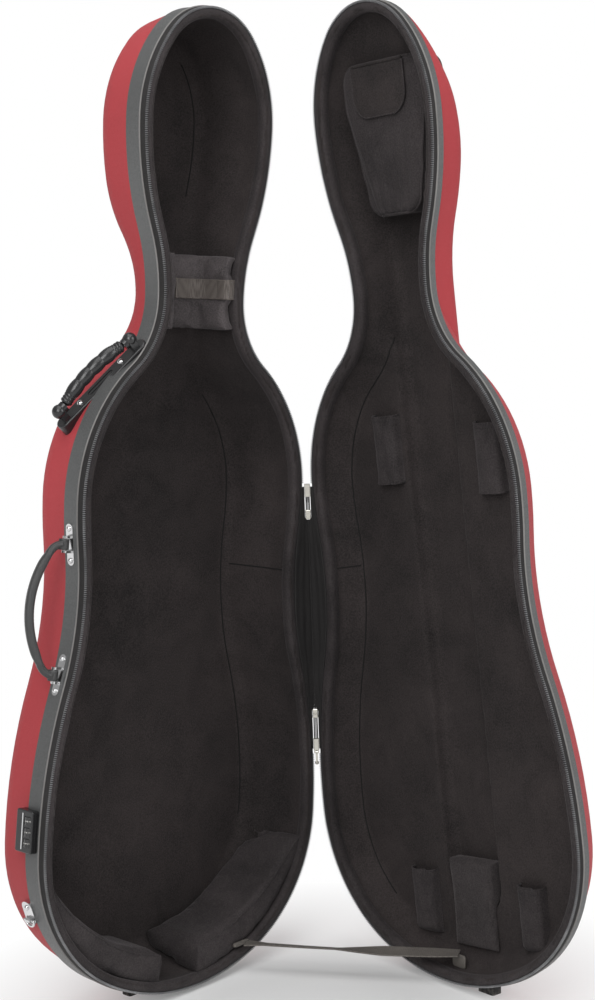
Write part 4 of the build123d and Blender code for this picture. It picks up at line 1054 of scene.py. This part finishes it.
def pouch_cover_flap():
    """Bound flap that hangs over the pouch's mouth and lifts about its bead."""
    rows = np.linspace(0, 1, 24)
    columns = np.linspace(-1, 1, 31)
    points = np.empty((len(rows), len(columns), 3))
    for i, t in enumerate(rows):
        drop = 2.0 + t * 67
        half = 50 - cut_corner(max(0.0, FLAP_CORNER - (70 - drop)), FLAP_CORNER)
        for j, a in enumerate(columns):
            wave = 0.25 * sin(a * 4 + 1) * t
            points[i, j] = (a * half, FLAP_AXIS[0] - drop, FLAP_AXIS[1] - 0.15 + wave * 0.5)
    cloth = thick_cloth(in_lid(points), 0.0019)
    made = make_piece("pouch_cover_flap", *cloth, VELOUR, "velour", "flap", ("pouch_flap",))
    finer(made)
    edge = np.concatenate((points[:, 0], points[-1, 1:-1], points[::-1, -1]))
    make_piece("flap_binding", *round_line(in_lid(evenly(edge, 2.5)), 0.00125), PADDING, "velour", "flap")
    top = np.stack((np.linspace(-49, 49, 40), np.full(40, FLAP_AXIS[0]), np.full(40, FLAP_AXIS[1])), -1)
    make_piece("flap_bead", *round_line(in_lid(top), 0.002, 10), VELOUR, "velour", "flap")
    inner = np.concatenate((points[2:-2, 2], points[-3, 3:-3], points[2:-2, -3][::-1]))
    sewn = [in_lid(inner - np.array((0, 0, 1.0)))]
    thread_stitches("flap_stitching", sewn, "flap", CREASE_SHADED_SEAM, "velour", 2.8, 1.4, 0.28)
    return made


pouch_bag()
pouch_cover_flap()


# Fabric gusset on the hinge line, its cord and the closed zip ends

BISECTOR = OPEN / 2 - pi / 2
GUSSET_LOW = 292
GUSSET_HIGH = 674
CORD_LOW = 350.5
CORD_HIGH = 626.5
TOOTH_PITCH = 1.35
ZIP_STOP_LONG = 13.0

# The crimped stop: its eight-sided section, and the height and slimness of each ring of it
STOP_SECTION = (
    (-4.0, -1.5), (-3.2, -2.4), (3.2, -2.4), (4.0, -1.5), (4.0, 1.5), (3.2, 2.4), (-3.2, 2.4), (-4.0, 1.5),
)
STOP_RINGS = (
    (0, 0.86), (0.7, 1), (4.0, 1), (5.2, 0.93), (6.4, 1), (7.6, 0.93), (8.8, 1), (12.3, 1), (13, 0.86),
)


def hinge_rim(heights):
    """Distance of the rim's inner edge from the hinge line at each height."""
    line = rim_line(2)
    line = line[(line[:, 0] < 0) & (line[:, 1] > 150) & (line[:, 1] < 800)]
    edge = inside_rim(line, 3.3, 0)
    across, up = leaned(edge[:, 0], edge[:, 1])
    order = np.argsort(up)
    return np.interp(heights, up[order], across[order])


def gusset_leaf(name, node, body, side):
    """Folded fabric leaf from the hinge cord to the rim, with the long folds it takes when it opens."""
    heights = np.linspace(GUSSET_LOW, GUSSET_HIGH, 96)
    reach = hinge_rim(heights)
    near = np.full(96, 0.72)
    near[(heights < 352) | (heights > 626)] = 4.9
    near = np.minimum(near, reach - 1.2)
    shares = np.linspace(0, 1, 15)
    points = np.empty((96, 15, 3))
    for j, share in enumerate(shares):
        x = near + (reach - near) * share
        deep = np.clip((reach - 8) / 30, 0, 1)
        fold = 0.55 * np.sin(share * 15 + heights / 55) * deep + 0.18 * np.sin(heights / 11 + share * 9)
        folded_in = (1 - share) ** 9 * (near < 1)
        across = 1.7 - 0.95 * folded_in + fold * sin(pi * min(1, share + 0.02)) ** 0.5
        east, north = (-x, across) if side > 0 else on_lid_side(-x, across)
        points[:, j] = by_hinge(east, north, heights)
    made = make_piece(name, *thick_cloth(points, 0.0011), TAPE, "zip_tape", body, (node,))
    return made


gusset_leaf("gusset_leaf_body", "gusset_body", "case_body", 1)
gusset_leaf("gusset_leaf_lid", "gusset_lid", "lid", -1)


def twisted_cord():
    """Two-ply cord that the gusset folds along."""
    z = np.linspace(CORD_LOW, CORD_HIGH, 140)
    plies = []
    for start in (0, pi):
        turn = z / 2.4 + start
        plies.append(round_line(by_hinge(0.5 * np.cos(turn), 0.5 * np.sin(turn), z), 0.00085, 6))
    return make_piece("gusset_cord", *joined(plies), TAPE, "zip_tape", "case_body", ("hinge_cord",))


def zip_end(name, node, low, high, stop_low):
    """The closed end of the zip: meshed teeth between two tape edges, and a crimped end stop."""
    run = np.array((cos(BISECTOR), sin(BISECTOR), 0))
    swell = np.array((0.3, 0.62, 0.72, 0.62, 0.3)) / 1000
    teeth = []
    for k in range(int((high - low) / TOOTH_PITCH)):
        z = low + 0.7 + k * TOOTH_PITCH
        side = 1 if k % 2 else -1
        aside = side * 0.55
        centre = np.array((ORIGIN[0] + aside * cos(BISECTOR), ORIGIN[1] + aside * sin(BISECTOR), z))
        path = np.stack([centre + run * d for d in (-1.5, -1.2, 0, 1.2, 1.5)])
        teeth.append(round_line(path / 1000, swell, 6))
    coil = make_piece(name, *joined(teeth), COIL, "zip_coil", "case_body", (node,))
    start = low if stop_low else high - ZIP_STOP_LONG
    rings = []
    for z, slim in STOP_RINGS:
        for a, b in STOP_SECTION:
            east = a * slim * cos(BISECTOR) - b * slim * sin(BISECTOR)
            north = a * slim * sin(BISECTOR) + b * slim * cos(BISECTOR)
            rings.append(by_hinge(east, north, start + z))
    faces = tube_faces(len(STOP_RINGS), len(STOP_SECTION))
    make_piece(name + "_stop", rings, faces, SLIDER, "chrome", "case_body", (), False)
    edges = []
    for reach in (-2.2, 2.2):
        x = ORIGIN[0] + reach * cos(BISECTOR)
        y = ORIGIN[1] + reach * sin(BISECTOR)
        path = np.array([(x, y, z) for z in np.linspace(low, high, 24)])
        edges.append(round_line(path / 1000, 0.0009, 6))
    make_piece(name + "_tape_edges", *joined(edges), TAPE, "zip_tape", "case_body")
    return coil


twisted_cord()
zip_end("zip_coil_low", "zip_end_low", 306.11, 350.11, False)
zip_end("zip_coil_high", "zip_end_high", 627.29, 659.29, True)


# Webbing stay between body and lid, and the two tabs it is sewn to

EAST, NORTH, UP = np.eye(3)
STAY_AT = 44
LID_TAB = on_lid_side(-262, 22)
STAY_START = by_hinge(-165, 4, STAY_AT)
STAY_FINISH = by_hinge(*LID_TAB, STAY_AT)


def stay():
    """Taut webbing with a slight twist, sewn flat to the body and standing a little at the lid."""
    run = STAY_FINISH - STAY_START
    length = float(np.linalg.norm(run))
    at = np.linspace(0.03, 1.0, 480)
    sag = -0.0022 * np.sin(at * pi)
    path = STAY_START + np.outer(at, run) + np.outer(sag, UP)
    twist = np.interp(at, (0, 0.12, 0.45, 0.66, 0.88, 1.0), (0, 0.26, 0.31, -0.16, -0.12, 0))
    across = np.outer(np.cos(twist), np.cross(run / length, UP)) + np.outer(np.sin(twist), UP)
    strap = ribbon(path, across, 0.025, 0.0017)
    made = make_piece("stay_webbing", *strap, STAY_WEB, "webbing", None, ("stay_strap",))
    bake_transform(made)
    return made


def squircle(turn, across_power, up_power):
    """A rounded square's point at an angle, one unit out each way."""
    return (
        np.sign(cos(turn)) * abs(cos(turn)) ** across_power,
        np.sign(sin(turn)) * abs(sin(turn)) ** up_power,
    )


def soft_tab(name, node, body, centre, ways, sizes):
    """Small sewn pad of folded webbing with rounded edges."""
    points = []
    ring = 16
    for t in np.linspace(-1, 1, 13):
        close = 0.72 + 0.28 * ((1 - abs(t) ** 6) ** (1 / 3) if abs(t) < 1 else 0.0)
        for k in range(ring):
            a, b = squircle(2 * pi * k / ring, 0.45, 0.45)
            a, b = a * close, b * close
            points.append(centre + ways[0] * t * sizes[0] + ways[1] * a * sizes[1] + ways[2] * b * sizes[2])
    made = make_piece(name, points, tube_faces(13, ring), STAY_WEB, "webbing", body, (node,))
    across = ways[1] * sizes[1] * 0.75
    front = ways[2] * (sizes[2] + 0.0001)
    row = np.array([centre + ways[0] * t * sizes[0] * 0.85 for t in np.linspace(-1, 1, 20)])
    sewn = [row + across * side + front for side in (-1, 1)]
    thread_stitches(name + "_stitching", sewn, body, THREAD, "webbing", 2.4, 1.0, 0.3)
    return made


stay()
soft_tab("stay_patch_body", "stay_tab_body", "case_body", by_hinge(-165, 1.2, STAY_AT),
         (EAST, UP, -NORTH), (0.0142, 0.0029, 0.0026))
out_of_lid = in_lid((0, 0, -1)) - in_lid((0, 0, 0))
out_of_lid = out_of_lid / np.linalg.norm(out_of_lid)
soft_tab("stay_patch_lid", "stay_tab_lid", "lid", by_hinge(*LID_TAB, 33),
         (np.cross(UP, out_of_lid), UP, out_of_lid), (0.0122, 0.0098, 0.0017))


# Side handle in stitched leather on its two bars

SIDE_CENTRE = np.array((-0.21405, 0.21582, 0.57212))
SIDE_WAYS = np.array(((0.18057, 0.0, 0.98356), (0.56415, 0.81915, -0.10357), (-0.80569, 0.57358, 0.14792)))
GRIP_HALF = 85.2304
GRIP_RISE = 38.0
CREST = 143.9711
SHOULDER_TURN = 19.0123


def at_side_handle(points):
    """Millimetres along, across and out from the side handle's bars to metres of the frame."""
    points = np.asarray(points, float) / 1000
    return SIDE_CENTRE + sum(points[..., k:k + 1] * SIDE_WAYS[k] for k in range(3))


def grip_line():
    """Middle line of the arched grip, from bar to bar, with its outward directions."""
    half = []
    for angle in np.radians(np.linspace(2, 58, 12)):
        x = GRIP_HALF - SHOULDER_TURN + SHOULDER_TURN * cos(angle)
        half.append((x, SHOULDER_TURN * sin(angle), cos(angle), sin(angle)))
    for angle in np.radians(np.linspace(58, 90, 22)[1:]):
        half.append((CREST * cos(angle), GRIP_RISE - CREST + CREST * sin(angle), cos(angle), sin(angle)))
    half = np.array(half)
    return np.vstack((half, half[-2::-1] * (-1, 1, -1, 1)))


GRIP = grip_line()
GRIP_RUN = np.concatenate(([0], np.cumsum(np.hypot(*np.diff(GRIP[:, :2], axis=0).T))))
GRIP_SHARE = np.abs(GRIP_RUN / GRIP_RUN[-1] * 2 - 1)


def leather_cover():
    """Stuffed leather grip that flattens towards its ends."""
    cover = []
    ring = 20
    for (x, z, nx, nz), s in zip(GRIP, GRIP_SHARE):
        flat = np.clip((s - 0.62) / 0.2, 0, 1)
        thick = 6.3 * (1 - flat) + 4.3 * flat
        wide = 8.4 + 0.2 * flat
        if s > 0.8:
            thick, wide = 3.3, 7.4
        for k in range(ring):
            a, b = squircle(2 * pi * k / ring, 0.8, 0.75 - 0.25 * flat)
            a, b = a * wide, b * thick
            if abs(a) > wide * 0.9:
                b *= 0.75
            cover.append((x + nx * b, a, z + nz * b))
    cover = at_side_handle(cover), tube_faces(len(GRIP), ring)
    made = make_piece("leather_grip", *cover, LEATHER, "leather", "side_handle", ("side_grip",))
    finer(made)
    return made


def leather_loops():
    """The leather that turns round each bar."""
    stations = (-7.2, -6.8, -4, 0, 4, 6.8, 7.2)
    loops = []
    for end in (-1, 1):
        points = []
        for x in stations:
            tight = 0.92 if abs(x) > 7 else 1.0
            for reach in (6.1 * tight, 2.6):
                for k in range(24):
                    turn = 2 * pi * k / 24
                    lift = 1.5 * max(0.0, sin(turn)) ** 3 if reach > 3 else 0
                    points.append((end * GRIP_HALF + x, reach * cos(turn), reach * sin(turn) + lift))
        starts = [(48 * i + layer, 48) for i in range(len(stations) - 1) for layer in (0, 24)]
        starts += [(0, 24), (48 * (len(stations) - 1), 24)]
        faces = [
            (low + k, low + (k + 1) % 24, low + step + (k + 1) % 24, low + step + k)
            for low, step in starts
            for k in range(24)
        ]
        loops.append((points, faces))
    points, faces = joined(loops)
    return make_piece("leather_loops", at_side_handle(points), faces, LEATHER, "leather", "side_handle")


def leather_stitching(grip):
    """Stitches along both edges of the cover, outside and inside the arch."""
    rows = []
    for side in (-1, 1):
        for face in (1, -1):
            row = [
                (x + nx * 6.6 * face, side * 6.4, z + nz * 6.6 * face)
                for (x, z, nx, nz), s in zip(GRIP, GRIP_SHARE)
                if s < 0.97
            ]
            rows.append(lying_on(grip, evenly(at_side_handle(row), 0.002), 0.0001))
    return thread_stitches("leather_grip_stitching", rows, "side_handle", THREAD, "leather", 3.2, 1.6, 0.38)


def leather_end_straps():
    """Doubled leather over both ends of the grip."""
    section = (
        (-6.6, 3.2), (-6.4, 5.0), (0, 5.6), (6.4, 5.0), (6.6, 3.2), (6.4, -4.6), (0, -5.2), (-6.4, -4.6),
    )
    straps = []
    for end in (-1, 1):
        path = GRIP[(GRIP_SHARE > 0.7) & (GRIP[:, 0] * end > 0)]
        points = [(x + nx * b, a, z + nz * b) for x, z, nx, nz in path for a, b in section]
        straps.append((points, tube_faces(len(path), len(section))))
    points, faces = joined(straps)
    ends = make_piece("leather_end_straps", at_side_handle(points), faces, LEATHER, "leather", "side_handle")
    return finer(ends)


leather_grip = leather_cover()
leather_loops()
leather_stitching(leather_grip)
leather_end_straps()


# Figures on the lock's dials

LOCK_CENTRE = np.array((-0.27845, 0.22182, 0.29016))
LOCK_WAYS = np.array(((0.15483, 0.0, 0.98794), (0.0, 1.0, 0.0), (-0.98794, 0.0, 0.15483)))
DIAL_PITCH = 14.5
DIAL_FACE = 0.00592


def dial_figures(name, body, step):
    """The ten plain figures round one dial."""
    along, across, out_of_lock = LOCK_WAYS
    axis = LOCK_CENTRE + (along * DIAL_PITCH * step - across * 7.0 + out_of_lock * 7.0) / 1000
    figures = []
    for figure in range(10):
        turn = radians(18 + 36 * figure)
        out = -cos(turn) * out_of_lock - sin(turn) * across
        up = np.cross(out, along)
        curve = bpy.data.curves.new("figure", "FONT")
        curve.body = str(figure)
        curve.size = 0.0042
        curve.extrude = 0.00008
        curve.align_x = "CENTER"
        curve.align_y = "CENTER"
        curve.resolution_u = 3
        text = bpy.data.objects.new("figure", curve)
        SCENE.collection.objects.link(text)
        mesh = bpy.data.meshes.new_from_object(text.evaluated_get(bpy.context.evaluated_depsgraph_get()))
        points = [axis + along * v.co.x + up * v.co.y + out * (DIAL_FACE + v.co.z) for v in mesh.vertices]
        figures.append((points, [tuple(polygon.vertices) for polygon in mesh.polygons]))
        bpy.data.objects.remove(text)
    return make_piece(name, *joined(figures), FIGURES, "moulded", body, (), False)


dial_figures("dial_figures_low", "dial_low", -1)
dial_figures("dial_figures_middle", "dial_middle", 0)
dial_figures("dial_figures_high", "dial_high", 1)


# Floor, light and camera

WHITE = (1, 1, 1, 1)


def whitened(tree, share, own, white, target):
    """Gives the target its own shader, and the white one where the share says so."""
    wire(tree, add(tree, "MixShader", {0: share, 1: own, 2: white}).outputs[0], target)


def seen_by(tree, *rays):
    path = add(tree, "LightPath").outputs
    return calc(tree, "MAXIMUM", *(path[ray] for ray in rays))


def pale_floor():
    """Plain pale floor that runs out to white away from the case, and keeps its shadow near it."""
    mesh = bpy.data.meshes.new("floor")
    far = 30.0
    mesh.from_pydata([(-far, -far, 0), (far, -far, 0), (far, far, 0), (-far, far, 0)], [], [(0, 1, 2, 3)])
    floor = bpy.data.objects.new("floor", mesh)
    SCENE.collection.objects.link(floor)
    pale = bpy.data.materials.new("pale studio floor")
    pale.use_nodes = True
    tree = pale.node_tree
    shader = tree.nodes["Principled BSDF"]
    shader.inputs["Roughness"].default_value = 0.6
    place = add(tree, "TexCoord").outputs["Object"]
    cloud = speckle(tree, place, 2.0, 3.0, 0.5)
    pale_grey = mixed_colour(tree, cloud, (0.86, 0.86, 0.86, 1), (0.9, 0.9, 0.9, 1))
    wire(tree, pale_grey, shader.inputs["Base Color"])
    distance = add(tree, "VectorMath", {0: place}, operation="LENGTH").outputs["Value"]
    away = ranged(tree, distance, 0.15, 0.55)
    share = calc(tree, "MULTIPLY", away, seen_by(tree, "Is Camera Ray", "Is Glossy Ray"))
    white = add(tree, "Emission", {"Color": WHITE}).outputs[0]
    whitened(tree, share, shader.outputs[0], white, tree.nodes["Material Output"].inputs["Surface"])
    mesh.materials.append(pale)
    return floor


def white_surround(level):
    """Even studio surround: white to the camera, and a plain fill light to the case."""
    world = bpy.data.worlds.new("studio")
    world.use_nodes = True
    tree = world.node_tree
    fill = tree.nodes["Background"]
    fill.inputs["Color"].default_value = WHITE
    fill.inputs["Strength"].default_value = level
    white = add(tree, "Background", {"Color": WHITE, "Strength": 1.0}).outputs[0]
    seen = seen_by(tree, "Is Camera Ray", "Is Transmission Ray")
    whitened(tree, seen, fill.outputs[0], white, tree.nodes["World Output"].inputs["Surface"])
    SCENE.world = world
    return world


def soft_lamp(name, place, aim, size, power):
    lamp = bpy.data.lights.new(name, "AREA")
    lamp.shape = "RECTANGLE"
    lamp.size, lamp.size_y = size
    lamp.energy = power
    made = bpy.data.objects.new(name, lamp)
    made.location = place
    made.rotation_euler = (Vector(aim) - Vector(place)).to_track_quat("-Z", "Y").to_euler()
    SCENE.collection.objects.link(made)
    return made


def camera():
    lens = bpy.data.cameras.new("camera")
    lens.lens = 81.023
    lens.sensor_width = 36
    lens.shift_x = 0.0098
    lens.shift_y = 0.05912
    made = bpy.data.objects.new("camera", lens)
    made.location = (-2.0066, -2.0060, 1.1872)
    made.rotation_euler = (radians(78.842), radians(2.128), radians(-45.298))
    SCENE.collection.objects.link(made)
    SCENE.camera = made
    return made


pale_floor()
white_surround(0.4)
soft_lamp("window_left", (-2.6, -1.4, 2.4), (0, 0, 0.7), (1.8, 2.2), 60)
soft_lamp("window_right", (0.8, -2.9, 2.0), (0, 0, 0.6), (1.6, 2.0), 32)
soft_lamp("ceiling", (-0.4, -0.3, 3.2), (0, 0, 0.5), (2.4, 2.4), 34)
camera()
SCENE.view_settings.view_transform = "Standard"
